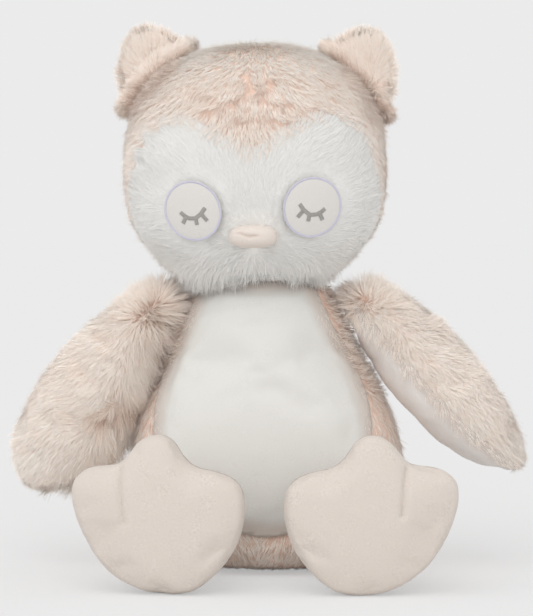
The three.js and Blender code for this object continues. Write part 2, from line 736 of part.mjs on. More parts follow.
function owl() {
  const whole = new THREE.Group();
  const seats = SIDES.flatMap((side) => [shoulderSeat(side), ankleSeat(side)]);
  whole.add(...bodyPieces(seats));

  const head = new THREE.Group();
  head.rotation.y = HEAD_ROLL;
  const neckToHead = new THREE.Vector3(0, -HEAD_FORWARD, HEAD_ABOVE_NECK);
  head.position.copy(neckToHead.clone().applyEuler(head.rotation).add(NECK_CENTRE));
  head.add(...headPieces(ball(neckToHead.clone().negate(), NECK_BALL_RADIUS + SEAM_GAP)));
  whole.add(head);

  for (const side of SIDES) {
    const grown = bodyForm(-SEAM_GAP);
    const wingSeat = shoulderSeat(side);
    const footSeat = ankleSeat(side);
    const bodyForWing = grown.subtract(ball(wingSeat.centre, wingSeat.radius));
    const bodyForFoot = grown.subtract(ball(footSeat.centre, footSeat.radius));
    whole.add(wingPieces(side, bodyForWing));
    whole.add(footPieces(side, bodyForFoot));
  }
  return whole;
}

export default owl();
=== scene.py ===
"""A sitting plush owl with long tan fur, a white lobed face, closed eyes, a smooth belly and broad feet.

Lengths are in metres, +Z is up and the owl looks towards -Y. Left and right are the owl's own.
"""
import json
import logging
import math
from collections.abc import Callable, Iterable, Iterator, Sequence
from contextlib import contextmanager
from dataclasses import dataclass, field
from enum import Enum
from functools import partial

import bmesh
import bpy
import numpy as np
from mathutils import Matrix, Vector
from mathutils.bvhtree import BVHTree
from mathutils.kdtree import KDTree


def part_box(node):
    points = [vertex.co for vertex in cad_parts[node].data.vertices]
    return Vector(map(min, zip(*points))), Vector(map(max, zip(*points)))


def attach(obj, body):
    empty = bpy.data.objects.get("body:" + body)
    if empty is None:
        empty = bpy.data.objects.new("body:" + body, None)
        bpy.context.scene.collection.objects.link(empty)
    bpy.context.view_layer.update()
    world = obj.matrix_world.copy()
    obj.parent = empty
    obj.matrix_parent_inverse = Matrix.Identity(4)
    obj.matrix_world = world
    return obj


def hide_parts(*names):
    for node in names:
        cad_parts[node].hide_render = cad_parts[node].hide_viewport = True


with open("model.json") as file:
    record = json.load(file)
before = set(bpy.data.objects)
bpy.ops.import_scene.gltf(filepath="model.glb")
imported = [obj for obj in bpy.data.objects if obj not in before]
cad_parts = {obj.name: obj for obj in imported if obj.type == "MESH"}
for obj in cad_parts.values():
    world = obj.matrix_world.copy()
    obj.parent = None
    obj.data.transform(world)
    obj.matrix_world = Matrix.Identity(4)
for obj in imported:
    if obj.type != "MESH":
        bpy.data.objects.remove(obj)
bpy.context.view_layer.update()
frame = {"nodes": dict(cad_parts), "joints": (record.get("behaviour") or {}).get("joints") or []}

MM = 0.001
TINY = 1e-9
NUDGE = 1e-4
FLOOR_CLEARANCE = 0.3 * MM

# Points nearer than this are one, and skins and rims are evened out this often
WELD = 0.01 * MM
SETTLE_ROUNDS = 2
RIM_ROUNDS = 6
BESIDE_RIM_ROUNDS = 4

# How far a sewn-on cloth lies off its skin, and how much further its points may stand
CLOTH_GAP = 0.2 * MM
CLOTH_PLAY = 0.1 * MM

# How the cloth of a skin swells: held at its seam from this mark on, and cut this much larger than its form
HELD_FROM = 0.3
SLACK = 0.02
PRESSURE = 3
STIFFNESS = 12
BENDING = 0.4
QUALITY = 6
STEPS = 20

Points = np.ndarray
Color = tuple[float, float, float, float]
Place = tuple[float, float, float]
Line = tuple[tuple[float, float], ...]
# Reads one value a point, or one row a point, from the points and the surface's normals there
Field = Callable[[Points, Points], Points]

log = logging.getLogger("plush_owl")


class Side(Enum):
    """The owl's own left and right."""

    LEFT = "left"
    RIGHT = "right"

    @property
    def sign(self) -> int:
        """+1 on the owl's left, which lies towards +X, and -1 on its right."""
        return 1 if self is Side.LEFT else -1


# Small vector sums


def unit(vectors: Points) -> Points:
    """Each row of the array at length 1."""
    return vectors / np.maximum(np.linalg.norm(vectors, axis=-1, keepdims=True), TINY)


def dot(first: Points, second: Points) -> Points:
    """Row by row products, kept as a column."""
    return (first * second).sum(-1, keepdims=True)


def tangent(vectors: Points, normals: Points) -> Points:
    """The part of each vector that lies in the surface, at length 1."""
    return unit(vectors - dot(vectors, normals) * normals)


def smooth_step(values: Points, low: float, high: float) -> Points:
    """0 below low, 1 above high and a soft rise between them."""
    share = np.clip((values - low) / (high - low), 0, 1)
    return share * share * (3 - 2 * share)


def gap_to(points: Points, place: Sequence[float], stretch: Sequence[float] = (1, 1, 1)) -> Points:
    """How far each point is from a place, in an oval's measure where a stretch is given."""
    return np.linalg.norm((points - np.array(place)) / stretch, axis=1)


def srgb(red: int, green: int, blue: int) -> Color:
    """A screen colour as linear light."""
    linear = [((v / 255 + 0.055) / 1.055) ** 2.4 if v > 10 else v / 255 / 12.92 for v in (red, green, blue)]
    return (linear[0], linear[1], linear[2], 1.0)


# Meshes


def points_of(mesh: bpy.types.Mesh, reading: str = "co") -> Points:
    """Reads a mesh's points, or its normals there.

    Args:
        mesh: the mesh to read.
        reading: "co" for the points and "normal" for their normals.

    Returns:
        A row for each point.
    """
    rows = np.empty(len(mesh.vertices) * 3, np.float32)
    mesh.vertices.foreach_get(reading, rows)
    return rows.reshape(-1, 3).astype(np.float64)


def normals_of(mesh: bpy.types.Mesh) -> Points:
    """A mesh's point normals as rows of an array."""
    return points_of(mesh, "normal")


def set_points(mesh: bpy.types.Mesh, points: Points) -> None:
    """Moves a mesh's points to the rows of an array."""
    mesh.vertices.foreach_set("co", points.astype(np.float32).ravel())
    mesh.update()


def new_piece(name: str, mesh: bpy.types.Mesh) -> bpy.types.Object:
    """Links a new object of that mesh, with smooth faces.

    Args:
        name: the piece's name.
        mesh: its mesh, already in place.

    Returns:
        The new object.
    """
    piece = bpy.data.objects.new(name, mesh)
    mesh.name = name
    bpy.context.scene.collection.objects.link(piece)
    mesh.shade_smooth()
    return piece


def piece_from(name: str, bm: bmesh.types.BMesh) -> bpy.types.Object:
    """Turns a bmesh into a piece and frees it.

    Args:
        name: the piece's name.
        bm: its shape.

    Returns:
        The new piece.
    """
    mesh = bpy.data.meshes.new(name)
    bm.to_mesh(mesh)
    bm.free()
    return new_piece(name, mesh)


@contextmanager
def editing(piece: bpy.types.Object) -> Iterator[bmesh.types.BMesh]:
    """Opens a piece's mesh as a bmesh, and writes it back.

    Args:
        piece: the piece to change.

    Yields:
        The bmesh to work on.
    """
    bm = bmesh.new()
    bm.from_mesh(piece.data)
    yield bm
    bm.to_mesh(piece.data)
    bm.free()
    piece.data.update()


def dress(piece: bpy.types.Object, finish: "Finish", body: str, slot: str, *stands_for: str) -> None:
    """Gives a piece its finish, the body it rides on and the frame's nodes that it stands for.

    Args:
        piece: the finished piece.
        finish: what it is made of.
        body: the body it rides on.
        slot: the record's material slot; not used.
        stands_for: the nodes that it hides.
    """
    piece.data.materials.clear()
    piece.data.materials.append(finish.material())
    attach(piece, body)
    if stands_for:
        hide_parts(*stands_for)
    log.info("%s: %d faces on %s", piece.name, len(piece.data.polygons), body)


def apply_modifiers(piece: bpy.types.Object) -> None:
    """Bakes a piece's modifiers into its mesh.

    Args:
        piece: the piece, with its modifiers.
    """
    evaluated = piece.evaluated_get(bpy.context.evaluated_depsgraph_get())
    mesh = bpy.data.meshes.new_from_object(evaluated)
    old = piece.data
    piece.modifiers.clear()
    piece.data = mesh
    bpy.data.meshes.remove(old)
    mesh.name = piece.name
    mesh.shade_smooth()


def subdivide(piece: bpy.types.Object) -> None:
    """Bakes one level of subdivision into a piece.

    Args:
        piece: the piece to refine.
    """
    modifier = piece.modifiers.new("Subdivision", "SUBSURF")
    modifier.levels = modifier.render_levels = 1
    apply_modifiers(piece)


def relax(bm: bmesh.types.BMesh, verts: Iterable[bmesh.types.BMVert], rounds: int) -> None:
    """Moves vertices half way to the middle of their neighbours, several times.

    Args:
        bm: the bmesh that they are in.
        verts: the vertices to move.
        rounds: how often they are moved.
    """
    every_way = {"use_axis_x": True, "use_axis_y": True, "use_axis_z": True}
    for _ in range(rounds):
        bmesh.ops.smooth_vert(bm, verts=verts, factor=0.5, **every_way)


def smooth(piece: bpy.types.Object, rounds: int) -> None:
    """Evens out a piece's points."""
    with editing(piece) as bm:
        relax(bm, bm.verts, rounds)


def joined(nodes: Iterable[str]) -> bmesh.types.BMesh:
    """Copies the surfaces of several of the frame's nodes into one bmesh.

    Args:
        nodes: the nodes' names.

    Returns:
        The new bmesh.
    """
    bm = bmesh.new()
    for node in nodes:
        bm.from_mesh(frame["nodes"][node].data)
    return bm


def tree_of(*nodes: str) -> BVHTree:
    """A search tree over the surfaces of the frame's nodes.

    Args:
        nodes: the nodes' names.

    Returns:
        The tree.
    """
    bm = joined(nodes)
    tree = BVHTree.FromBMesh(bm)
    bm.free()
    return tree


def distances(tree: BVHTree, points: Points) -> Points:
    """How far each point is from a surface."""
    return np.array([tree.find_nearest(point)[3] for point in points.tolist()])


def stuffed_form(name: str, nodes: Sequence[str], voxel: float, rounds: int) -> bpy.types.Object:
    """One closed skin round several nodes of the frame, evened out.

    Args:
        name: the piece's name.
        nodes: the nodes that it wraps.
        voxel: the remesh's step.
        rounds: how often it is smoothed.

    Returns:
        The closed piece.
    """
    bm = joined(nodes)
    bmesh.ops.remove_doubles(bm, verts=bm.verts, dist=WELD)
    piece = piece_from(name, bm)
    remesh = piece.modifiers.new("Remesh", "REMESH")
    remesh.mode = "VOXEL"
    remesh.voxel_size = voxel
    apply_modifiers(piece)
    keep_largest(piece)
    smooth(piece, rounds)
    return piece


def keep_largest(piece: bpy.types.Object) -> None:
    """Deletes all but the largest connected part of a piece.

    Args:
        piece: the piece to clear of loose parts.
    """
    with editing(piece) as bm:
        left = set(bm.verts)
        parts = []
        while left:
            part = {left.pop()}
            edge = part
            while edge:
                edge = {e.other_vert(v) for v in edge for e in v.link_edges} & left
                part = part | edge
                left -= edge
            parts.append(part)
        parts.sort(key=len, reverse=True)
        bmesh.ops.delete(bm, geom=[v for part in parts[1:] for v in part], context="VERTS")


@dataclass(frozen=True)
class Region:
    """A stretch of a skin that belongs to some of the frame's nodes.

    The skin lies an inset inside them, and the region reaches past its seam by an overlap.
    """

    nodes: tuple[str, ...]
    inset: float
    overlap: float = 0.0


def seam_reading(points: Points, regions: Sequence[Region]) -> tuple[Points, Points]:
    """Which region each point belongs to, and how far it is from the seam.

    Args:
        points: rows of points near the surface.
        regions: two regions that meet in a seam.

    Returns:
        The index of each point's region and its distance from the seam.
    """
    reach = np.stack([distances(tree_of(*region.nodes), points) - region.overlap for region in regions])
    return reach.argmin(0), np.abs(reach[0] - reach[1])


def mark_regions(
    piece: bpy.types.Object, regions: Sequence[Region], width: float
) -> tuple[Points, Points]:
    """Writes to a skin which region each of its points belongs to, and how near the seam is.

    Args:
        piece: the closed skin.
        regions: the two regions of the skin.
        width: how far from the seam its mark reaches.

    Returns:
        The index of each point's region and the seam's nearness, from 0 to 1.
    """
    index, seam = seam_reading(points_of(piece.data), regions)
    near = np.exp(-((seam / width) ** 2))
    keep_attribute(piece.data, "region", index)
    keep_attribute(piece.data, "seam", near)
    return index, near


def settle(piece: bpy.types.Object, regions: Sequence[Region], groove: float, width: float) -> None:
    """Moves a skin inside its nodes, with a groove along their seam, and keeps both as attributes.

    Args:
        piece: the closed skin.
        regions: the two regions of the skin.
        groove: the depth of the groove.
        width: how far from the seam the groove reaches.
    """
    mesh = piece.data
    index, near = mark_regions(piece, regions, width)
    inset = np.array([region.inset for region in regions])[index]
    set_points(mesh, points_of(mesh) - normals_of(mesh) * (inset + groove * near)[:, None])
    smooth(piece, SETTLE_ROUNDS)


def keep_attribute(mesh: bpy.types.Mesh, name: str, values: Points) -> None:
    """Writes one number a point to a mesh."""
    attribute = mesh.attributes.get(name) or mesh.attributes.new(name, "FLOAT", "POINT")
    attribute.data.foreach_set("value", values.astype(np.float32))


def read_attribute(mesh: bpy.types.Mesh, name: str) -> Points:
    """Reads one number a point from a mesh.

    Args:
        mesh: the mesh that keeps them.
        name: the attribute's name.

    Returns:
        The numbers.
    """
    values = np.empty(len(mesh.vertices), np.float32)
    mesh.attributes[name].data.foreach_get("value", values)
    return values.astype(np.float64)


def swell(piece: bpy.types.Object, cap: float) -> None:
    """Fills a skin with pressure in a cloth simulation, held at its seam, and bakes the result.

    Args:
        piece: the closed skin, with its seam attribute.
        cap: the furthest that a point may move.
    """
    scene = bpy.context.scene
    rest = points_of(piece.data)
    held = piece.vertex_groups.new(name="held")
    for index, near in enumerate(read_attribute(piece.data, "seam")):
        if near > HELD_FROM:
            held.add([index], min(1.0, float(near)), "REPLACE")
    cloth = piece.modifiers.new("Cloth", "CLOTH")
    settings = cloth.settings
    settings.quality = QUALITY
    settings.use_pressure = True
    settings.uniform_pressure_force = PRESSURE
    settings.effector_weights.gravity = 0
    settings.shrink_min = -SLACK
    settings.tension_stiffness = settings.compression_stiffness = STIFFNESS
    settings.bending_stiffness = BENDING
    settings.vertex_group_mass = held.name
    cloth.collision_settings.use_collision = False
    cloth.point_cache.frame_start = 1
    cloth.point_cache.frame_end = STEPS
    for step in range(1, STEPS + 1):
        scene.frame_set(step)
    moved = points_of(piece.evaluated_get(bpy.context.evaluated_depsgraph_get()).data) - rest
    length = np.linalg.norm(moved, axis=1, keepdims=True)
    piece.modifiers.clear()
    piece.vertex_groups.clear()
    scene.frame_set(1)
    set_points(piece.data, rest + moved * np.minimum(1, cap / np.maximum(length, TINY)))


def cloth_panel(name: str, skin: bpy.types.Object, thickness: float) -> bpy.types.Object:
    """Cuts the second region of a skin out as a closed sheet of cloth that lies on it.

    Args:
        name: the panel's name.
        skin: the skin, with its region attribute.
        thickness: the cloth's thickness.

    Returns:
        The closed panel.
    """
    lift = thickness + CLOTH_GAP
    bm = bmesh.new()
    bm.from_mesh(skin.data)
    layer = bm.verts.layers.float["region"]
    other = [f for f in bm.faces if sum(abs(v[layer] - 1) for v in f.verts) / len(f.verts) > 0.5]
    bmesh.ops.delete(bm, geom=other, context="FACES")
    straighten_rim(bm)
    rim = {v for v in bm.verts if v.is_boundary}
    beside = [v for v in bm.verts if v not in rim and any(e.other_vert(v) in rim for e in v.link_edges)]
    relax(bm, beside, BESIDE_RIM_ROUNDS)
    bm.normal_update()
    for vert in bm.verts:
        vert.co += vert.normal * lift
    panel = piece_from(name, bm)
    keep_largest(panel)
    thicken(panel, thickness)
    hold_close(panel, skin, lift + CLOTH_PLAY)
    return panel


def straighten_rim(bm: bmesh.types.BMesh) -> None:
    """Moves each vertex of an open sheet's rim half way to its two neighbours' middle, several times.

    Args:
        bm: the sheet.
    """
    for _ in range(RIM_ROUNDS):
        places = {}
        for vert in bm.verts:
            if vert.is_boundary:
                near = [e.other_vert(vert).co for e in vert.link_edges if e.is_boundary]
                places[vert] = vert.co * 0.5 + sum(near, Vector()) * (0.5 / len(near))
        for vert, place in places.items():
            vert.co = place


def hold_close(piece: bpy.types.Object, skin: bpy.types.Object, reach: float) -> None:
    """Draws back the points of a sheet that stand too far off its skin.

    Args:
        piece: the sheet.
        skin: the skin under it.
        reach: the furthest that a point may be from the skin.
    """
    mesh = skin.data
    tree = BVHTree.FromPolygons([v.co for v in mesh.vertices], [tuple(f.vertices) for f in mesh.polygons])
    for vert in piece.data.vertices:
        near, _, _, gap = tree.find_nearest(vert.co)
        if gap > reach:
            vert.co = near + (vert.co - near) * (reach / gap)
    piece.data.update()


def thicken(piece: bpy.types.Object, thickness: float) -> None:
    """Gives a sheet its thickness, inwards from its face.

    Args:
        piece: the open sheet.
        thickness: the cloth's thickness.
    """
    wall = piece.modifiers.new("Wall", "SOLIDIFY")
    wall.thickness = thickness
    wall.offset = -1
    wall.use_even_offset = False
    apply_modifiers(piece)


# Finishes


# A strand's tone and the way along it stay this far inside its map
FIBRE_INSET = 0.02


def looking_rays(tree: bpy.types.NodeTree) -> bpy.types.NodeSocket:
    """Tells the rays that look at a surface from the light that falls on the owl.

    Args:
        tree: the node tree to add to.

    Returns:
        A socket that reads 1 for a ray from the camera, in a mirror or through glass, and else 0.
    """
    path = tree.nodes.new("ShaderNodeLightPath")
    either, every = (tree.nodes.new("ShaderNodeMath") for _ in range(2))
    either.operation = every.operation = "ADD"
    every.use_clamp = True
    targets = {"Camera": either.inputs[0], "Glossy": either.inputs[1], "Transmission": every.inputs[1]}
    for ray, target in targets.items():
        tree.links.new(path.outputs[f"Is {ray} Ray"], target)
    tree.links.new(either.outputs[0], every.inputs[0])
    return every.outputs[0]


class Board:
    """A material's node board, with short ways to add and join nodes."""

    def __init__(self, name: str) -> None:
        """Starts an empty material that ends in a principled shader.

        Args:
            name: the material's name.
        """
        self.material = bpy.data.materials.new(name)
        self.material.use_nodes = True
        self.tree = self.material.node_tree
        self.tree.nodes.clear()
        self.output = self.add("ShaderNodeOutputMaterial")
        self.shader = self.add("ShaderNodeBsdfPrincipled")
        self.join(self.shader.outputs[0], self.output.inputs["Surface"])

    def add(self, kind: str, **settings: object) -> bpy.types.Node:
        """Adds a node and sets its properties.

        Args:
            kind: the node's type.
            settings: its properties.

        Returns:
            The node.
        """
        node = self.tree.nodes.new(kind)
        for key, value in settings.items():
            setattr(node, key, value)
        return node

    def join(self, source: bpy.types.NodeSocket, target: bpy.types.NodeSocket) -> None:
        """Links two sockets."""
        self.tree.links.new(source, target)

    def surface(self, roughness: float, sheen: float, sheen_roughness: float, specular: float) -> None:
        """Sets the shader's plain values.

        Args:
            roughness: how matt it is.
            sheen: how much its nap glows at the edge.
            sheen_roughness: how wide that glow is.
            specular: how much it mirrors.
        """
        self.shader.inputs["Roughness"].default_value = roughness
        self.shader.inputs["Sheen Weight"].default_value = sheen
        self.shader.inputs["Sheen Roughness"].default_value = sheen_roughness
        self.shader.inputs["Specular IOR Level"].default_value = specular

    def noise(self, scale: float, detail: float) -> bpy.types.NodeSocket:
        """Noise on the piece's own coordinates.

        Args:
            scale: its waves a metre.
            detail: how many finer waves lie on them.

        Returns:
            The noise's socket.
        """
        noise = self.add("ShaderNodeTexNoise")
        noise.inputs["Scale"].default_value = scale
        noise.inputs["Detail"].default_value = detail
        self.join(self.add("ShaderNodeTexCoord").outputs["Object"], noise.inputs["Vector"])
        return noise.outputs["Fac"]

    def ramp(
        self, source: bpy.types.NodeSocket, stops: Iterable[tuple[float, Sequence[float]]]
    ) -> bpy.types.NodeSocket:
        """A colour ramp over a value.

        Args:
            source: the value.
            stops: its places from 0 to 1, each with a colour.

        Returns:
            The ramp's socket.
        """
        node = self.add("ShaderNodeValToRGB")
        elements = node.color_ramp.elements
        for index, (place, color) in enumerate(stops):
            element = elements[index] if index < 2 else elements.new(place)
            element.position = place
            element.color = color
        self.join(source, node.inputs[0])
        return node.outputs[0]

    def mix(
        self,
        share: bpy.types.NodeSocket,
        first: bpy.types.NodeSocket | Sequence[float],
        second: bpy.types.NodeSocket | Sequence[float],
    ) -> bpy.types.NodeSocket:
        """Mixes two colours by a share.

        Args:
            share: the second colour's share.
            first: a colour.
            second: a colour.

        Returns:
            The mix's socket.
        """
        node = self.add("ShaderNodeMix", data_type="RGBA")
        self.join(share, node.inputs[0])
        for value, socket in ((first, node.inputs[6]), (second, node.inputs[7])):
            if isinstance(value, bpy.types.NodeSocket):
                self.join(value, socket)
            else:
                socket.default_value = value
        return node.outputs[2]

    def attribute(self, name: str) -> bpy.types.NodeSocket:
        """A value that is kept on the mesh."""
        return self.add("ShaderNodeAttribute", attribute_name=name).outputs["Fac"]

    def bump(self, layers: Iterable[tuple[bpy.types.NodeSocket, float, float]]) -> None:
        """Stacks bumps onto the shader.

        Args:
            layers: each bump's height socket, its strength and its depth.
        """
        last = None
        for height, strength, depth in layers:
            node = self.add("ShaderNodeBump")
            node.inputs["Strength"].default_value = strength
            node.inputs["Distance"].default_value = depth
            self.join(height, node.inputs["Height"])
            if last is not None:
                self.join(last, node.inputs["Normal"])
            last = node.outputs[0]
        self.join(last, self.shader.inputs["Normal"])


class Finish:
    """What a piece is made of. Each kind makes its material once."""

    name: str

    def material(self) -> bpy.types.Material:
        """The finish's material, made the first time it is asked for."""
        found = bpy.data.materials.get(self.name)
        return found or self.mixed()

    def mixed(self) -> bpy.types.Material:
        """Makes the material."""
        raise NotImplementedError


@dataclass(frozen=True)
class FurFinish(Finish):
    """Long pile: each strand runs from a darker root, painted shade deep in the coat, to a pale tip, and no
    two have the same tone.
    """

    name: str
    root: Color
    deep: Color
    middle: Color
    pale: Color
    root_reach: float = 0.4

    def mixed(self) -> bpy.types.Material:
        """Reads a strand's tone across its map and the way along the strand up its map.

        Returns:
            The material.
        """
        board = Board(self.name)
        fibre = board.add("ShaderNodeUVMap", uv_map="fibre")
        split = board.add("ShaderNodeSeparateXYZ")
        board.join(fibre.outputs[0], split.inputs[0])
        tone = board.ramp(split.outputs[0], [(0, self.deep), (1, self.pale), (0.5, self.middle)])
        # The root colour is painted shade deep in the coat, fading into the strand's tone up to the root
        # reach
        past_root_shade = board.ramp(split.outputs[1], [(FIBRE_INSET, BLACK), (self.root_reach, WHITE)])
        board.join(board.mix(past_root_shade, self.root, tone), board.shader.inputs["Base Color"])
        board.surface(roughness=0.85, sheen=0.15, sheen_roughness=0.5, specular=0.15)
        return board.material


@dataclass(frozen=True)
class ClothFinish(Finish):
    """Short-pile cloth: brushed patches, a fine nap and, near the seam, a darker seam line with painted
    shade in and beside its groove.
    """

    name: str
    color: Color
    brushed: Color
    seam: Color
    patch_scale: float = 70
    nap_scale: float = 900
    nap_depth: float = 0.12 * MM
    nap_strength: float = 0.6
    dent_scale: float = 60
    dent_depth: float = 1.2 * MM
    dents: float = 0.5
    patch_stops: tuple[float, float] = (0.35, 0.68)
    nap_stops: tuple[float, float] = (0.36, 0.66)
    seam_start: float = 0.2
    seam_shade: Color = (0.8, 0.8, 0.8, 1)

    def mixed(self) -> bpy.types.Material:
        """Mixes the brushed patches, the nap and the painted shade near the seam.

        Returns:
            The material.
        """
        board = Board(self.name)
        patches = board.ramp(board.noise(self.patch_scale, detail=4), zip(self.patch_stops, (BLACK, WHITE)))
        nap = board.ramp(board.noise(self.nap_scale, detail=3), zip(self.nap_stops, (BLACK, WHITE)))
        base = board.mix(patches, self.color, self.brushed)
        worn = board.mix(nap, base, board.mix(patches, self.brushed, self.color))
        # Painted shade: the cloth darkens towards the seam colour where the seam mark is high
        shade = board.ramp(board.attribute("seam"), [(self.seam_start, BLACK), (1, self.seam_shade)])
        board.join(board.mix(shade, worn, self.seam), board.shader.inputs["Base Color"])
        board.surface(roughness=0.85, sheen=0.2, sheen_roughness=0.4, specular=0.2)
        dents = (board.noise(self.dent_scale, detail=2), self.dents, self.dent_depth)
        board.bump([dents, (board.noise(self.nap_scale, detail=3), self.nap_strength, self.nap_depth)])
        return board.material


@dataclass(frozen=True)
class BackingFinish(Finish):
    """The woven backing under long pile, in the colour of the pile's roots on each side of the seam, a
    little darker than the pile as painted shade in the gaps between strands.
    """

    name: str
    tan: Color
    white: Color

    def mixed(self) -> bpy.types.Material:
        """Mixes the two colours by the skin's region.

        Returns:
            The material.
        """
        board = Board(self.name)
        base = board.mix(board.attribute("region"), self.tan, self.white)
        board.join(base, board.shader.inputs["Base Color"])
        board.surface(roughness=0.9, sheen=0.2, sheen_roughness=0.5, specular=0.1)
        return board.material


@dataclass(frozen=True)
class ThreadFinish(Finish):
    """Shiny embroidery thread with its twist."""

    name: str
    color: Color
    shade: Color
    twist_scale: float = 2600
    twist_depth: float = 0.08 * MM
    twist_strength: float = 0.4

    def mixed(self) -> bpy.types.Material:
        """Thread colour with fine dark twists.

        Returns:
            The material.
        """
        board = Board(self.name)
        twist = board.noise(self.twist_scale, detail=1)
        board.join(board.mix(twist, self.color, self.shade), board.shader.inputs["Base Color"])
        board.surface(roughness=0.5, sheen=0, sheen_roughness=0.3, specular=0.4)
        board.bump([(twist, self.twist_strength, self.twist_depth)])
        return board.material


@dataclass(frozen=True)
class PaperFinish(Finish):
    """The plain floor, pale to the camera, which still takes the owl's shadow."""

    name: str
    color: Color
    glow: float

    def mixed(self) -> bpy.types.Material:
        """Mixes the lit paper with its own pale glow.

        Returns:
            The material.
        """
        board = Board(self.name)
        board.shader.inputs["Base Color"].default_value = self.color
        board.surface(roughness=1, sheen=0, sheen_roughness=0.5, specular=0)
        glow = board.add("ShaderNodeEmission")
        glow.inputs["Color"].default_value = BACKGROUND
        blend = board.add("ShaderNodeMixShader")
        share = board.add("ShaderNodeMath", operation="MULTIPLY")
        share.inputs[1].default_value = self.glow
        board.join(looking_rays(board.tree), share.inputs[0])
        board.join(share.outputs[0], blend.inputs[0])
        board.join(board.shader.outputs[0], blend.inputs[1])
        board.join(glow.outputs[0], blend.inputs[2])
        board.join(blend.outputs[0], board.output.inputs["Surface"])
        return board.material


BLACK: Color = (0, 0, 0, 1)
WHITE: Color = (1, 1, 1, 1)
BACKGROUND = srgb(235, 235, 235)
FLOOR_PAPER = PaperFinish("floor_paper", srgb(236, 236, 236), glow=0.5)
# Each pile's root colour is painted shade deep in the coat; its deep colour ends the random tones and also
# carries the painted shade of partings, tuft edges and ruffles
TAN_FUR = FurFinish(
    "tan_pile",
    root=srgb(230, 202, 186),
    deep=srgb(208, 184, 170),
    middle=srgb(254, 238, 226),
    pale=srgb(255, 249, 241),
)
WHITE_FUR = FurFinish(
    "white_pile",
    root=srgb(238, 236, 233),
    deep=srgb(236, 234, 231),
    middle=srgb(249, 248, 245),
    pale=srgb(254, 253, 250),
)
# The backing's colours are painted shade where the pile parts, darker and warmer than the pile
BACKING = BackingFinish("backing", tan=srgb(234, 203, 185), white=srgb(246, 245, 242))
# Each cloth's seam colour is a darker seam line with painted shade in and beside the seam's groove
BELLY_CLOTH = ClothFinish(
    "belly_cloth", srgb(226, 225, 221), brushed=srgb(222, 220, 215), seam=srgb(192, 178, 168), dents=0.35
)
LINING_CLOTH = ClothFinish(
    "lining_cloth", srgb(236, 232, 228), brushed=srgb(228, 222, 218), seam=srgb(206, 194, 186)
)
FOOT_CLOTH = ClothFinish(
    "foot_cloth",
    srgb(221, 212, 203),
    brushed=srgb(211, 200, 191),
    seam=srgb(176, 162, 152),
    patch_scale=90,
    nap_depth=0.35 * MM,
)
EYE_CLOTH = ClothFinish(
    "eye_cloth",
    srgb(224, 221, 217),
    brushed=srgb(219, 216, 212),
    seam=srgb(206, 203, 204),
    patch_scale=120,
    dents=0.1,
)
# The beak's seam colour is painted shade in its mouth crease
BEAK_CLOTH = ClothFinish(
    "beak_cloth",
    srgb(230, 220, 211),
    brushed=srgb(221, 209, 200),
    seam=srgb(196, 176, 164),
    patch_scale=160,
    dents=0.3,
)
RING_THREAD = ThreadFinish("satin_ring_thread", srgb(226, 224, 238), srgb(206, 203, 222))
LID_THREAD = ThreadFinish("grey_lid_thread", srgb(186, 183, 179), srgb(146, 143, 139))


# Fur


# How thick a strand is for its width, how far its facets bend its shading, and how far roots stand apart
STRAND_FLATNESS = 0.45
FACET_SHARE = 0.85
ROOT_SPACING = 0.9 * MM

# How far a tuft reaches for its spacing, how few tufts a piece has, and how few and many patches of chance
TUFT_REACH = 0.8
LEAST_TUFTS = 8
PATCH_COUNTS = (12, 160)


@dataclass(frozen=True)
class Pile:
    """How a stretch of fur grows.

    A strand lifts off the skin by the lift, give or take the unruly, and strays sideways from the way that
    the fur lies. Some strands are loose and lift further. A tuft's strands gather to its middle strand,
    which stands out by the puff. Tones run from 0, the deepest colour, to 1, the palest; besides their
    chance and patches, they carry painted shade, paler at a tuft's middle and darker towards its edge,
    near partings and where the fur is ruffled. A pair of numbers is a range that each strand draws its
    share from.
    """

    count: int
    length: float
    width: float
    lengths: tuple[float, float] = (0.6, 1.15)
    widths: tuple[float, float] = (0.75, 1.2)
    lift: float = math.radians(5)
    unruly: float = math.radians(5)
    lifts: tuple[float, float] = (math.radians(2), math.radians(80))
    loose: float = 0.12
    loose_lift: tuple[float, float] = (0.2, 0.6)
    raising: tuple[float, float] = (0.5, 1.1)
    ruffled_lift: float = 0.4
    stray: float = math.radians(14)
    swirl: float = math.radians(12)
    swirl_reach: float = 8 * MM
    clump: float = 2.4 * MM
    gather: float = 0.5
    gathering: tuple[float, float] = (0.5, 1.2)
    puff: float = 1.4 * MM
    puff_from: float = 0.4
    sunk: float = 0.3 * MM
    tone: float = 0.6
    tone_spread: float = 0.12
    tones: tuple[float, float] = (0.02, 0.96)
    patchy: float = 0.05
    patch_reach: float = 5 * MM
    # Painted shade: a tuft is paler at its middle and darker towards its edge, and the pile is darker near
    # partings and where it is ruffled
    contrast: float = 0.45
    tuft_light_from: float = 0.45
    parted_shade: float = 0.42
    ruffled_shade: float = 0.06


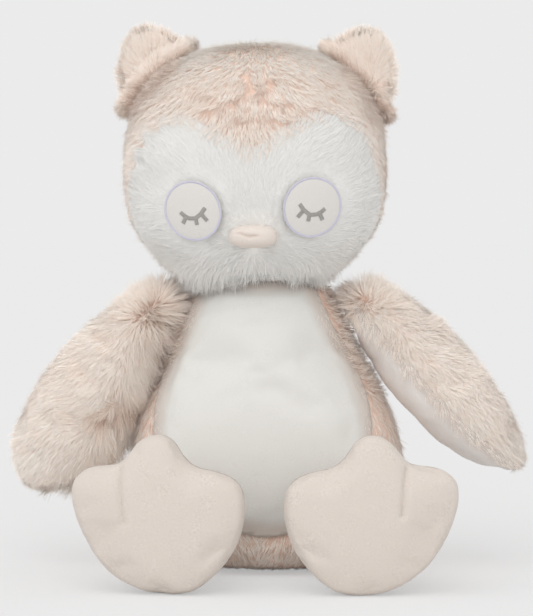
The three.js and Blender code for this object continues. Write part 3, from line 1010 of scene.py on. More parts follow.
@dataclass(frozen=True)
class Parting:
    """A line from which the pile falls to both sides, as seen from the front, in millimetres.

    It reaches the skin that faces forward, where the normal's part along +Y is under the limit, and the
    pile near it is painted darker as shade.
    """

    line: Line
    reach: float = 2.3 * MM
    strength: float = 1.0
    limit: float = 0.2

    def read(self, points: Points) -> tuple[Points, Points]:
        """How each point is pushed away from the line, and how near it is.

        Args:
            points: rows of points on the fur.

        Returns:
            A row of pushes and a nearness from 0 to 1.
        """
        line = np.array(self.line) * MM
        flat = points[:, [0, 2]]
        best = np.full(len(points), np.inf)
        away = np.zeros_like(flat)
        for start, end in zip(line[:-1], line[1:]):
            run = end - start
            share = np.clip(((flat - start) @ run) / (run @ run), 0, 1)
            gap = flat - (start + share[:, None] * run)
            length = np.linalg.norm(gap, axis=1)
            closer = length < best
            best = np.where(closer, length, best)
            away[closer] = gap[closer]
        near = np.exp(-((best / self.reach) ** 2))
        push = unit(away) * (near * self.strength)[:, None]
        return np.stack([push[:, 0], np.zeros(len(points)), push[:, 1]], axis=1), near


def shape_of(bm: bmesh.types.BMesh) -> tuple[Points, Points]:
    """Reads a small shape that is to be repeated, and frees it.

    Args:
        bm: the shape.

    Returns:
        Its points and its triangles.
    """
    bmesh.ops.triangulate(bm, faces=bm.faces)
    bm.verts.index_update()
    points = np.array([v.co for v in bm.verts])
    triangles = np.array([[v.index for v in f.verts] for f in bm.faces])
    bm.free()
    return points, triangles


def repeated(triangles: Points, count: int, size: int) -> Points:
    """The triangles of a shape of so many points, repeated so many times."""
    return (triangles[None] + np.arange(count)[:, None, None] * size).reshape(-1, 3)


def strand_shape() -> tuple[Points, Points]:
    """One strand along +Z, 1 long: a slim closed spike.

    Returns:
        Its points and its triangles.
    """
    bm = bmesh.new()
    bmesh.ops.create_cone(bm, cap_ends=True, segments=3, radius1=1, radius2=0, depth=1)
    bmesh.ops.remove_doubles(bm, verts=bm.verts, dist=WELD)
    bmesh.ops.translate(bm, verts=bm.verts, vec=(0, 0, 0.5))
    bmesh.ops.scale(bm, verts=bm.verts, vec=(1, STRAND_FLATNESS, 1))
    return shape_of(bm)


def scatter(
    skin: bpy.types.Object, count: int, weight: Field, rng: np.random.Generator
) -> tuple[Points, Points]:
    """Spreads roots evenly over a skin.

    Args:
        skin: the piece that the fur grows on.
        count: the number of roots.
        weight: how thick the fur grows at a face's middle.
        rng: the seeded source of chance.

    Returns:
        The roots and the skin's normals there.
    """
    mesh = skin.data
    mesh.calc_loop_triangles()
    corners = np.empty(len(mesh.loop_triangles) * 3, np.int32)
    mesh.loop_triangles.foreach_get("vertices", corners)
    corners = corners.reshape(-1, 3)
    points, normals = points_of(mesh), normals_of(mesh)
    a, b, c = (points[corners[:, i]] for i in range(3))
    middle = (a + b + c) / 3
    area = np.linalg.norm(np.cross(b - a, c - a), axis=1)
    share = np.cumsum(area * weight(middle, unit(np.cross(b - a, c - a))))
    places = (np.arange(count) + rng.random(count)) / count * share[-1]
    chosen = np.searchsorted(share, places).clip(0, len(share) - 1)
    u, v = rng.random(count), rng.random(count)
    over = u + v > 1
    u, v = np.where(over, 1 - u, u)[:, None], np.where(over, 1 - v, v)[:, None]
    mixed = [values[corners[chosen]] for values in (points, normals)]
    roots, ups = (m[:, 0] * (1 - u - v) + m[:, 1] * u + m[:, 2] * v for m in mixed)
    return roots, unit(ups)


def tufts(roots: Points, spacing: float, rng: np.random.Generator) -> tuple[Points, Points]:
    """Finds the tuft that each strand belongs to.

    Args:
        roots: the strands' roots.
        spacing: the distance between tufts.
        rng: the seeded source of chance.

    Returns:
        The index of each strand's middle strand, and how near that is, from 0 to 1.
    """
    covered = len(roots) * ROOT_SPACING**2
    picks = rng.choice(len(roots), max(LEAST_TUFTS, int(covered / spacing**2)), replace=False)
    tree = KDTree(len(picks))
    for index, pick in enumerate(picks):
        tree.insert(roots[pick], index)
    tree.balance()
    found = [tree.find(root)[1:] for root in roots.tolist()]
    nearest = np.array([index for index, _ in found])
    gap = np.array([distance for _, distance in found])
    return picks[nearest], 1 - np.clip(gap / (TUFT_REACH * spacing), 0, 1)


def patches(points: Points, reach: float, rng: np.random.Generator) -> Points:
    """Soft patches of chance over a surface, about -1 to 1.

    Args:
        points: rows of points on the fur.
        reach: how wide a patch is.
        rng: the seeded source of chance.

    Returns:
        One value a point.
    """
    span = points.max(0) - points.min(0)
    count = int(np.clip(span.prod() ** (2 / 3) / reach**2, *PATCH_COUNTS))
    total = np.zeros(len(points))
    for centre in points[rng.choice(len(points), count)]:
        total += rng.normal() * np.exp(-(((points - centre) ** 2).sum(1)) / reach**2)
    return total / max(total.std(), TINY)


def grow(
    name: str,
    skin: bpy.types.Object,
    pile: Pile,
    seed: int,
    weight: Field,
    flow: Field,
    trim: Field | None = None,
    partings: Sequence[Parting] = (),
    ruffle: Field | None = None,
    raised: Field | None = None,
    paler: Field | None = None,
) -> bpy.types.Object:
    """Grows a piece of fur on a skin.

    Args:
        name: the piece's name.
        skin: what it grows on.
        pile: how it grows.
        seed: the seed of all its chance.
        weight: how thick it grows.
        flow: the way it lies.
        trim: the share of its length that is left.
        partings: lines from which it falls to both sides, and near which it is painted darker as shade.
        ruffle: where it stands up, turns about and is painted a little darker as shade, from 0 to 1.
        raised: how much further it stands off the skin, as an angle.
        paler: how much lighter it is painted, as painted light, from 0 to 1.

    Returns:
        The piece of fur.
    """
    rng = np.random.default_rng(seed)
    roots, ups = scatter(skin, pile.count, weight, rng)
    count = len(roots)
    lie = unit(flow(roots, ups))
    # Nearness to the partings, where the pile is painted darker as shade
    dark = np.zeros(count)
    for parting in partings:
        push, near = parting.read(roots)
        front = ups[:, 1] < parting.limit
        lie = lie + push * front[:, None]
        dark = np.maximum(dark, near * front)
    lie = tangent(lie, ups)
    rough = np.zeros(count) if ruffle is None else ruffle(roots, ups)
    turn = rng.normal(0, 1, count) * (pile.stray + rough)
    turn += patches(roots, pile.swirl_reach, rng) * pile.swirl
    lie = unit(lie * np.cos(turn)[:, None] + np.cross(ups, lie) * np.sin(turn)[:, None])
    length = pile.length * rng.uniform(*pile.lengths, count)
    if trim is not None:
        length = length * trim(roots, ups)
    lift = pile.lift + pile.ruffled_lift * rough + rng.normal(0, 1, count) * pile.unruly
    lift += (rng.random(count) < pile.loose) * rng.uniform(*pile.loose_lift, count)
    if raised is not None:
        lift += raised(roots, ups) * rng.uniform(*pile.raising, count)
    lift = np.clip(lift, *pile.lifts)[:, None]
    tips = roots + (lie * np.cos(lift) + ups * np.sin(lift)) * length[:, None]
    middle, near = tufts(roots, pile.clump, rng)
    draw = pile.gather * rng.uniform(*pile.gathering, count)
    tips += (tips[middle] - tips) * draw[:, None] + ups * (pile.puff * (near - pile.puff_from))[:, None]
    roots = roots - ups * pile.sunk
    tone = rng.normal(pile.tone, pile.tone_spread, count)
    tone += pile.patchy * patches(roots, pile.patch_reach, rng)
    # Painted shade: a tuft is paler at its middle and darker towards its edge
    tone += pile.contrast * (near - pile.tuft_light_from)
    # Painted shade near partings and where the fur is ruffled
    tone -= pile.parted_shade * dark + pile.ruffled_shade * rough
    # Painted light lightens the tone where it is given
    if paler is not None:
        tone += paler(roots, ups)
    widths = pile.width * rng.uniform(*pile.widths, count)
    return strands(name, roots, tips, ups, widths, np.clip(tone, *pile.tones))


def strands(
    name: str, roots: Points, tips: Points, ups: Points, widths: Points, tones: Points
) -> bpy.types.Object:
    """Repeats the strand's shape from roots to tips, as one piece.

    Args:
        name: the piece's name.
        roots: where the strands start.
        tips: where they end.
        ups: the skin's normals.
        widths: how wide they are.
        tones: how pale they are, from 0 to 1.

    Returns:
        The piece.
    """
    shape, triangles = strand_shape()
    count, size = len(roots), len(shape)
    side = unit(np.cross(tips - roots, ups + NUDGE))
    over = unit(np.cross(tips - roots, side))
    height = shape[None, :, 2:]
    line = roots[:, None] * (1 - height) + tips[:, None] * height
    radius = (widths / 2)[:, None, None]
    points = line + radius * (shape[None, :, :1] * side[:, None] + shape[None, :, 1:2] * over[:, None])
    points[..., 2] = np.maximum(points[..., 2], FLOOR_CLEARANCE)
    mesh = bpy.data.meshes.new(name)
    mesh.vertices.add(count * size)
    mesh.vertices.foreach_set("co", points.astype(np.float32).ravel())
    faces = repeated(triangles, count, size)
    mesh.loops.add(faces.size)
    mesh.loops.foreach_set("vertex_index", faces.astype(np.int32).ravel())
    mesh.polygons.add(len(faces))
    mesh.polygons.foreach_set("loop_start", np.arange(0, faces.size, 3, dtype=np.int32))
    mesh.update(calc_edges=True)
    around = np.arctan2(shape[:, 1], shape[:, 0]) / math.tau + 0.5
    across = tones[:, None] + FIBRE_INSET * around[None]
    along = np.broadcast_to(FIBRE_INSET + (1 - 2 * FIBRE_INSET) * shape[None, :, 2], across.shape)
    fibre = np.stack([across, along], axis=-1).reshape(-1, 2)[faces.ravel()].astype(np.float32)
    for layer in ("OFBake", "fibre"):
        mesh.uv_layers.new(name=layer).uv.foreach_set("vector", fibre.ravel())
    piece = new_piece(name, mesh)
    corners = points.reshape(-1, 3)[faces]
    facing = unit(np.cross(corners[:, 1] - corners[:, 0], corners[:, 2] - corners[:, 0]))
    normals = unit(np.repeat(ups, len(triangles), axis=0) + FACET_SHARE * facing)
    mesh.normals_split_custom_set(np.repeat(normals, 3, axis=0).tolist())
    return piece


# The owl's sub-assemblies


DOWN = np.array([0, 0, -1.0])


@dataclass(frozen=True)
class Sewing:
    """How two cloths of the frame are sewn together and stuffed into one closed skin.

    The first cloth lies by the first inset inside its node and the second by the second, and the second
    reaches past their seam by the wrap. The seam lies in a groove, and the stuffing swells the skin out.
    """

    voxel: float
    rounds: int
    insets: tuple[float, float]
    groove: float
    groove_width: float = 4 * MM
    # How far the seam mark reaches, along which the cloth is painted darker as shade
    seam_shade_width: float = 4 * MM
    swelling: float = 0.0
    wrap: float = 0.0

    def regions(self, nodes: Sequence[str]) -> tuple[Region, Region]:
        """The two cloths' stretches of the skin, from the nodes of the cloths and the filling."""
        return (Region((nodes[0],), self.insets[0]), Region((nodes[1],), self.insets[1], self.wrap))

    def skin(self, name: str, nodes: Sequence[str]) -> bpy.types.Object:
        """Makes the stuffed skin.

        Args:
            name: the skin's name.
            nodes: the nodes of the two cloths and of the filling.

        Returns:
            The closed skin, marked with its regions and its seam.
        """
        skin = stuffed_form(name, nodes, self.voxel, self.rounds)
        settle(skin, self.regions(nodes), self.groove, self.groove_width)
        if self.swelling:
            swell(skin, self.swelling)
        subdivide(skin)
        mark_regions(skin, self.regions(nodes), self.seam_shade_width)
        return skin


@dataclass
class Torso:
    """The body: a pear of tan fur cloth with a smooth belly panel, stuffed."""

    # The belly's wide seam mark spreads painted shade along the belly cloth's edges
    sewing: Sewing = Sewing(
        4.5 * MM, 8, (2.8 * MM, 4.2 * MM), groove=1.6 * MM, seam_shade_width=7 * MM, swelling=3 * MM
    )
    cloth: float = 1.6 * MM
    neck: Place = (-0.006, 0.0, 0.119)
    neck_radius: float = 52 * MM
    collar: float = 45 * MM
    fringe: float = 2 * MM
    bare_rim: float = 3 * MM
    wing_root: float = 15 * MM
    foot_root: float = 22 * MM
    # How the fur is combed, ruffled and trimmed
    turn: float = 30 * MM
    aside: float = 0.5
    unrest: float = 0.8
    seat_pile: float = 0.4
    seat: tuple[float, float] = (2 * MM, 16 * MM)
    under_head: tuple[float, float] = (20 * MM, 40 * MM)
    under_head_cut: float = 0.5
    seed: int = 11
    pile: Pile = Pile(28000, 8 * MM, 0.6 * MM)
    seats: tuple[tuple[float, float, float, float], ...] = field(init=False)

    def __post_init__(self) -> None:
        """Reads where the limbs' ball roots sit from the joints."""
        joints = {joint["child"]: joint["pos_m"] for joint in frame["joints"]}
        radius = {"wing": self.wing_root, "foot": self.foot_root}
        self.seats = tuple((*joints[f"{s.value}_{limb}"], radius[limb]) for limb in radius for s in Side)

    def build(self) -> None:
        """Makes the stuffed skin, the belly panel and the fur of the sides, back and seat."""
        nodes = ("body_fur_shell", "belly_panel", "body_filling")
        skin = self.sewing.skin("body_stuffing_skin", nodes)
        panel = cloth_panel("belly_cloth", skin, self.cloth)
        dress(skin, BACKING, "torso", "tan_fur", "body_filling")
        dress(panel, BELLY_CLOTH, "torso", "white_velour", "belly_panel")
        for side in Side:
            fur = grow(
                f"body_fur_{side.value}",
                skin,
                self.pile,
                self.seed + side.sign,
                partial(self.thickness, self.sewing.regions(nodes), side),
                self.combed,
                self.trim,
                ruffle=self.tousled,
                raised=self.shouldered,
            )
            dress(fur, TAN_FUR, "torso", "tan_fur", *(nodes[:1] if side is Side.LEFT else ()))

    def thickness(self, regions: Sequence[Region], side: Side, points: Points, normals: Points) -> Points:
        """Fur grows on one half of the tan cloth, and not under the head or in the limbs' seats.

        Args:
            regions: the skin's two regions.
            side: the half.
            points: rows of points on the skin.
            normals: the skin's normals there; not used.

        Returns:
            1 where fur grows, and next to 0 elsewhere.
        """
        index, seam = seam_reading(points, regions)
        grows = (index == 0) | (seam < self.fringe)
        grows &= points[:, 0] * side.sign > self.neck[0] * side.sign
        for *place, radius in self.seats:
            grows &= gap_to(points, place) > radius + self.bare_rim
        grows &= points[:, 2] < self.neck[2] + self.collar
        return grows.astype(float) + TINY

    def combed(self, points: Points, normals: Points) -> Points:
        """The fur falls, in front towards the belly's seam and behind away from the middle.

        Args:
            points: the strands' roots.
            normals: the skin's normals there.

        Returns:
            The way that each strand lies.
        """
        side = np.sign(points[:, :1] - self.neck[0])
        front = 1 - 2 * smooth_step(points[:, 1:2], -self.turn, self.turn)
        return tangent(side * front * np.array([-self.aside, 0, 0]) + DOWN, normals)

    def near_wings(self, points: Points, drop: float, tall: float, start: float, end: float) -> Points:
        """How near points are to the wings' roots.

        Args:
            points: rows of points on the skin.
            drop: how far below the roots it is measured.
            tall: how much higher than wide the measure is.
            start: how far from a root's ball it is still 1.
            end: how far from there it is 0.

        Returns:
            A value from 0 to 1 for each point.
        """
        near = np.zeros(len(points))
        for x, y, z, radius in self.seats[:2]:
            gap = gap_to(points, (x, y, z - drop), (1, 1, tall))
            near = np.maximum(near, 1 - smooth_step(gap, radius + start, radius + end))
        return near

    def tousled(self, points: Points, normals: Points) -> Points:
        """The fur stands up in the armpits, and is painted a little darker there as shade."""
        return self.unrest * self.near_wings(points, drop=12 * MM, tall=1.8, start=0, end=16 * MM)

    def shouldered(self, points: Points, normals: Points) -> Points:
        """The fur stands out round the wings' roots."""
        return self.unrest * self.near_wings(points, drop=0, tall=1.6, start=4 * MM, end=20 * MM)

    def trim(self, points: Points, normals: Points) -> Points:
        """Short pile under the seat and beneath the head.

        Args:
            points: the strands' roots.
            normals: the skin's normals there; not used.

        Returns:
            The share of each strand's length that is left.
        """
        seat = self.seat_pile + (1 - self.seat_pile) * smooth_step(points[:, 2], *self.seat)
        near_head = smooth_step(points[:, 2] - self.neck[2], *self.under_head)
        return seat * (1 - self.under_head_cut * near_head)


@dataclass
class Head:
    """The head: tan fur cloth round a white lobed face, stuffed, on the neck's ball."""

    sewing: Sewing = Sewing(4.5 * MM, 8, (3.2 * MM, 3.4 * MM), groove=0.8 * MM)
    centre: Place = (-0.00905, -0.003, 0.21595)
    half_width: float = 75 * MM
    nose: Place = (-0.0085, -0.040, 0.182)
    beak: Place = (-0.0085, -0.060, 0.182)
    front_edge: float = 8 * MM
    chin_top: float = 172 * MM
    chin_end: float = 160 * MM
    # Painted light: the fur on top of the head is painted lighter, rising between these heights
    crown_start: float = 262 * MM
    crown_end: float = 282 * MM
    crown_tone: float = 0.35
    bare_neck: float = 1.5 * MM
    # The tan fur's way: outwards and how much less behind, forwards and how much further back behind
    back: tuple[float, float] = (-10 * MM, 30 * MM)
    outwards: tuple[float, float] = (3.2, 1.8)
    backwards: tuple[float, float] = (0.3, 1.2)
    # How the fur hangs and stands at the head's edges, and how short it is trimmed
    hang: float = 1.1
    hang_end: float = 2 * MM
    ear_lift: float = 0.5
    neck_cut: float = 0.2
    beard: float = 1.3
    eye_pile: float = 0.35
    eye_clear: float = 9 * MM
    beak_pile: float = 0.45
    beak_clear: tuple[float, float] = (7 * MM, 15 * MM)
    beak_shape: Place = (1.6, 1, 1)
    back_seed: int = 32
    front_seed: int = 31
    face_seed: int = 41
    fur: Pile = Pile(42000, 7.2 * MM, 0.58 * MM)
    face_fur: Pile = Pile(
        49000, 7 * MM, 0.5 * MM, clump=2.2 * MM, gather=0.35, puff=0.7 * MM, contrast=0.2
    )
    # Partings on the forehead, from which the pile falls and near which it is painted darker as shade
    partings: tuple[Parting, ...] = (
        Parting(((-34.0, 247.8), (-21.7, 252.1), (-9.0, 258.5), (-0.5, 260.6))),
        Parting(((-3.6, 255.3), (3.3, 252.6), (9.1, 252.6))),
        Parting(((-17.5, 244.6), (-3.6, 245.7), (11.2, 240.4), (16.6, 247.8))),
        Parting(((19.7, 250.0), (28.3, 246.8), (33.6, 243.6))),
        Parting(((-12.2, 268.0), (-10.0, 262.7), (-9.0, 258.5))),
        Parting(((-38.7, 258.5), (-28.6, 255.3), (-19.6, 252.1))),
        Parting(((-0.5, 265.9), (0.6, 262.7))),
    )
    # Partings between the face's lobes, near which the white pile is painted darker as shade
    face_partings: tuple[Parting, ...] = (
        Parting(((-69.7, 244.9), (-57.9, 237.4)), 4 * MM),
        Parting(((-73.0, 233.1), (-64.4, 226.6)), 4 * MM),
        Parting(((-76.2, 219.6), (-67.0, 217.0)), 4 * MM),
    )

    def build(self) -> None:
        """Makes the stuffed skin and its fur, then the ears, eyes and beak."""
        nodes = ("head_fur_shell", "face_panel", "head_filling")
        skin = self.sewing.skin("head_stuffing_skin", nodes)
        regions = self.sewing.regions(nodes)
        dress(skin, BACKING, "head", "tan_fur", "head_filling")
        eyes = [Eye(side) for side in Side]
        # The ears' creases also part the head's fur, which is painted darker near them as shade
        creases = [Ear(side).crease() for side in Side]
        for part, front in (("front", True), ("back", False)):
            fur = grow(
                f"head_fur_{part}",
                skin,
                self.fur,
                self.front_seed if front else self.back_seed,
                partial(self.thickness, regions, 0, front, eyes),
                self.combed,
                self.neck_trim,
                (*self.partings, *creases),
                raised=self.hanging,
                paler=self.crown,
            )
            dress(fur, TAN_FUR, "head", "tan_fur", *(nodes[:1] if front else ()))
        face = grow(
            "face_fur",
            skin,
            self.face_fur,
            self.face_seed,
            partial(self.thickness, regions, 1, None, eyes),
            self.face_combed,
            partial(self.face_trim, eyes),
            self.face_partings,
            raised=self.hanging,
        )
        dress(face, WHITE_FUR, "head", "white_fur", "face_panel")
        for eye in eyes:
            eye.build()
        Beak().build()
        for side in Side:
            Ear(side).build()

    def thickness(
        self,
        regions: Sequence[Region],
        wanted: int,
        front: bool | None,
        eyes: Sequence["Eye"],
        points: Points,
        normals: Points,
    ) -> Points:
        """Fur grows on one region, clear of the neck's ball and the eyes.

        Args:
            regions: the skin's two regions.
            wanted: the region's index.
            front: whether it grows in front or behind, or None for both.
            eyes: the two eyes.
            points: rows of points on the skin.
            normals: the skin's normals there; not used.

        Returns:
            1 where fur grows, and next to 0 elsewhere.
        """
        index, _ = seam_reading(points, regions)
        grows = index == wanted
        grows &= gap_to(points, Torso.neck) > Torso.neck_radius + self.bare_neck
        if front is not None:
            grows &= (points[:, 1] < self.centre[1] + self.front_edge) == front
        for eye in eyes:
            grows &= eye.reach(points) > eye.radius - eye.tuck
        return grows.astype(float) + TINY

    def combed(self, points: Points, normals: Points) -> Points:
        """The tan fur lies outwards over the forehead and falls at the sides and back.

        Args:
            points: the strands' roots.
            normals: the skin's normals there.

        Returns:
            The way that each strand lies.
        """
        side = (points[:, :1] - self.centre[0]) / self.half_width
        behind = smooth_step(points[:, 1:2], *self.back)
        across = side * (self.outwards[0] - self.outwards[1] * behind)
        along = self.backwards[1] * behind - self.backwards[0]
        return tangent(np.concatenate((across, along, np.full_like(side, -1.0)), axis=1), normals)

    def face_combed(self, points: Points, normals: Points) -> Points:
        """The white fur lies outwards from under the beak, and falls at the chin."""
        chin = self.chin(points)[:, None]
        return tangent(unit(points - np.array(self.nose)) * (1 - chin) + DOWN * chin, normals)

    def chin(self, points: Points) -> Points:
        """How far points are down the chin, from 0 to 1."""
        return smooth_step(-points[:, 2], -self.chin_top, -self.chin_end)

    def hanging(self, points: Points, normals: Points) -> Points:
        """The fur hangs clear of the head's underside, and stands up against the ears.

        Args:
            points: the strands' roots.
            normals: the skin's normals there; not used.

        Returns:
            How far each strand stands up.
        """
        ears = sum(Ear(side).crease().read(points)[1] for side in Side)
        below = smooth_step(-points[:, 2], -self.chin_top, self.hang_end - self.chin_end)
        return self.hang * below + self.ear_lift * ears

    def crown(self, points: Points, normals: Points) -> Points:
        """Painted light: the fur is painted lighter on top, where light from above falls."""
        return self.crown_tone * smooth_step(points[:, 2], self.crown_start, self.crown_end)

    def neck_trim(self, points: Points, normals: Points) -> Points:
        """The pile is shorter where the head sits on the body."""
        return 1 - self.neck_cut * self.chin(points)

    def face_trim(self, eyes: Sequence["Eye"], points: Points, normals: Points) -> Points:
        """The white pile is trimmed round the eyes and the beak, and longer at the chin.

        Args:
            eyes: the two eyes.
            points: the strands' roots.
            normals: the skin's normals there; not used.

        Returns:
            The share of each strand's length that is left.
        """
        top, end = self.hang_end - self.chin_top, self.hang_end - self.chin_end
        share = 1 + self.beard * smooth_step(-points[:, 2], top, end)
        for eye in eyes:
            clear = smooth_step(eye.reach(points), eye.radius, eye.radius + self.eye_clear)
            share *= self.eye_pile + (1 - self.eye_pile) * clear
        beak = smooth_step(gap_to(points, self.beak, self.beak_shape), *self.beak_clear)
        return share * (self.beak_pile + (1 - self.beak_pile) * beak)


QUARTER_TURN = Matrix.Rotation(math.pi / 2, 3, "Y")
THREAD_HEIGHT = 0.8


def stitch_shape() -> tuple[Points, Points]:
    """One stitch along +X, 1 long and 1 wide: a closed grain of thread.

    Returns:
        Its points and its triangles.
    """
    bm = bmesh.new()
    bmesh.ops.create_uvsphere(bm, u_segments=6, v_segments=5, radius=0.5)
    bmesh.ops.rotate(bm, verts=bm.verts, cent=(0, 0, 0), matrix=QUARTER_TURN)
    return shape_of(bm)


def stitched(name: str, centres: Points, runs: Points, ups: Points, width: float) -> bpy.types.Object:
    """Lays satin stitches side by side.

    Args:
        name: the piece's name.
        centres: the stitches' middles.
        runs: each stitch's whole length and direction.
        ups: the cloth's normals.
        width: the thread's width.

    Returns:
        The embroidered piece.
    """
    shape, triangles = stitch_shape()
    side = unit(np.cross(ups, runs)) * width
    high = unit(ups) * width * THREAD_HEIGHT
    points = (
        centres[:, None]
        + shape[None, :, :1] * runs[:, None]
        + shape[None, :, 1:2] * side[:, None]
        + shape[None, :, 2:] * high[:, None]
    )
    faces = repeated(triangles, len(centres), len(shape))
    mesh = bpy.data.meshes.new(name)
    mesh.from_pydata(points.reshape(-1, 3).tolist(), [], faces.tolist())
    mesh.update()
    return new_piece(name, mesh)


@dataclass
class Eye:
    """A closed eye: a velour patch, a satin ring round it and a stitched lid with three lashes."""

    side: Side
    radius: float = 16.5 * MM
    steps: tuple[float, ...] = (0.024, 0.048, 0.08, 0.12, 0.18, 0.28)
    tuck: float = 1.5 * MM
    depth: float = 15 * MM
    dome: float = 1.7 * MM
    raise_by: float = 1.1 * MM
    cloth: float = 2.2 * MM
    hem: float = 0.985
    hem_drop: float = 0.4 * MM
    hem_sharpness: int = 24
    # The disc has a darker seam line and painted shade at its sewn-down rim, between these distances from
    # its middle
    seam: tuple[float, float] = (15.4 * MM, 16.6 * MM)
    ring_width: float = 1.5 * MM
    ring_thread: float = 0.5 * MM
    ring_stitches: int = 190
    ring_lean: float = 0.35
    ring_lift: float = 0.05 * MM
    lid_span: float = 7.6 * MM
    lid_width: float = 2.4 * MM
    lid_thread: float = 0.4 * MM
    lid_pitch: float = 0.75
    lid_lift: float = 0.1 * MM
    strokes: tuple[Line, ...] = (
        ((-1, 0.26), (-0.68, -0.15), (-0.24, -0.48), (0.24, -0.48), (0.62, -0.27), (0.85, -0.07)),
        ((-0.68, -0.15), (-1.08, -0.66)),
        ((-0.26, -0.48), (-0.3, -0.94)),
        ((0.46, -0.36), (0.74, -0.86)),
    )
    middle: Points = field(init=False)
    out: Points = field(init=False)
    across: Points = field(init=False)
    up: Points = field(init=False)

    def __post_init__(self) -> None:
        """Reads the patch's middle and the way that it looks from the frame's ring."""
        ring = points_of(frame["nodes"][f"{self.side.value}_eye_ring"].data)
        directions = np.linalg.svd(ring - ring.mean(0))[2]
        self.out = directions[2] * (-1 if directions[2][1] > 0 else 1)
        self.across = unit(np.cross(self.out, (0, 0, 1)))
        self.up = np.cross(self.across, self.out)
        centre = (ring.min(0) + ring.max(0)) / 2
        patch = points_of(frame["nodes"][f"{self.side.value}_eye_patch"].data)
        self.middle = centre + self.out * (((patch - centre) @ self.out).max() + self.raise_by)

    def reach(self, points: Points) -> Points:
        """How far points are from the line that the eye looks along.

        Args:
            points: rows of points on the head.

        Returns:
            The distances, and 1 metre for a point far behind the patch.
        """
        gap = points - self.middle
        along = dot(gap, self.out[None])
        return np.where(along[:, 0] > -self.depth, np.linalg.norm(gap - along * self.out, axis=1), 1.0)

    def spot(self, across: float, up: float, lift: float) -> Points:
        """A point above the gently domed patch, given from its middle."""
        sag = self.dome * (across**2 + up**2) / self.radius**2
        return self.middle + self.across * across + self.up * up + self.out * (lift - sag)

    def run(self, across: float, up: float) -> Points:
        """A way along the patch."""
        return self.across * across + self.up * up

    def build(self) -> None:
        """Makes the patch, the ring and the lid."""
        self.patch()
        self.ring()
        self.lid()

    def patch(self) -> None:
        """A softly domed disc of velour, sewn down at its edge."""
        bm = bmesh.new()
        bmesh.ops.create_circle(bm, cap_ends=True, segments=48, radius=self.radius)
        for depth in self.steps:
            cap = max(bm.faces, key=lambda f: len(f.verts))
            bmesh.ops.inset_region(bm, faces=[cap], thickness=self.radius * depth, use_boundary=True)
        bmesh.ops.poke(bm, faces=[max(bm.faces, key=lambda f: len(f.verts))])
        for vert in bm.verts:
            lift = -self.hem_drop * (vert.co.length / self.radius) ** self.hem_sharpness
            vert.co = Vector(self.spot(vert.co.x * self.hem, vert.co.y * self.hem, lift))
        bm.normal_update()
        if sum(f.normal.dot(Vector(self.out)) for f in bm.faces) < 0:
            bmesh.ops.reverse_faces(bm, faces=bm.faces)
        piece = piece_from(f"{self.side.value}_eye_disc", bm)
        thicken(piece, self.cloth)
        # Painted shade at the sewn-down rim
        keep_attribute(piece.data, "seam", smooth_step(self.reach(points_of(piece.data)), *self.seam))
        dress(piece, EYE_CLOTH, "head", "eye_velour", f"{self.side.value}_eye_patch")

    def ring(self) -> None:
        """Satin stitches laid across the patch's edge."""
        middle = self.radius - self.ring_width / 2
        centres, runs = [], []
        for angle in np.arange(self.ring_stitches) * math.tau / self.ring_stitches:
            lean = angle + self.ring_lean
            across, up = math.cos(angle) * middle, math.sin(angle) * middle
            centres.append(self.spot(across, up, self.ring_lift))
            runs.append(self.run(math.cos(lean), math.sin(lean)) * self.ring_width)
        piece = self.embroidered("eye_ring_stitches", centres, runs, self.ring_thread)
        dress(piece, RING_THREAD, "head", "ring_thread", f"{self.side.value}_eye_ring")

    def lid(self) -> None:
        """Satin stitches laid across the lid's line and its three lashes."""
        centres, runs = [], []
        for stroke in self.strokes:
            line = [Vector((-x * self.side.sign, y)) * self.lid_span for x, y in stroke]
            for start, end in zip(line[:-1], line[1:]):
                steps = max(3, round((end - start).length / (self.lid_thread * self.lid_pitch)))
                cross = (end - start).orthogonal().normalized()
                for step in range(steps + 1):
                    centres.append(self.spot(*start.lerp(end, step / steps), self.lid_lift))
                    runs.append(self.run(*cross) * self.lid_width)
        piece = self.embroidered("lid_stitches", centres, runs, self.lid_thread)
        dress(piece, LID_THREAD, "head", "lid_thread", f"{self.side.value}_closed_lid")

    def embroidered(
        self, name: str, centres: Sequence[Points], runs: Sequence[Points], thread: float
    ) -> bpy.types.Object:
        """Stitches laid on the patch, as one piece.

        Args:
            name: the piece's name after its side.
            centres: the stitches' middles.
            runs: each stitch's whole length and direction.
            thread: the thread's width.

        Returns:
            The piece.
        """
        ups = np.broadcast_to(self.out, (len(centres), 3))
        return stitched(f"{self.side.value}_{name}", np.array(centres), np.array(runs), ups, thread)


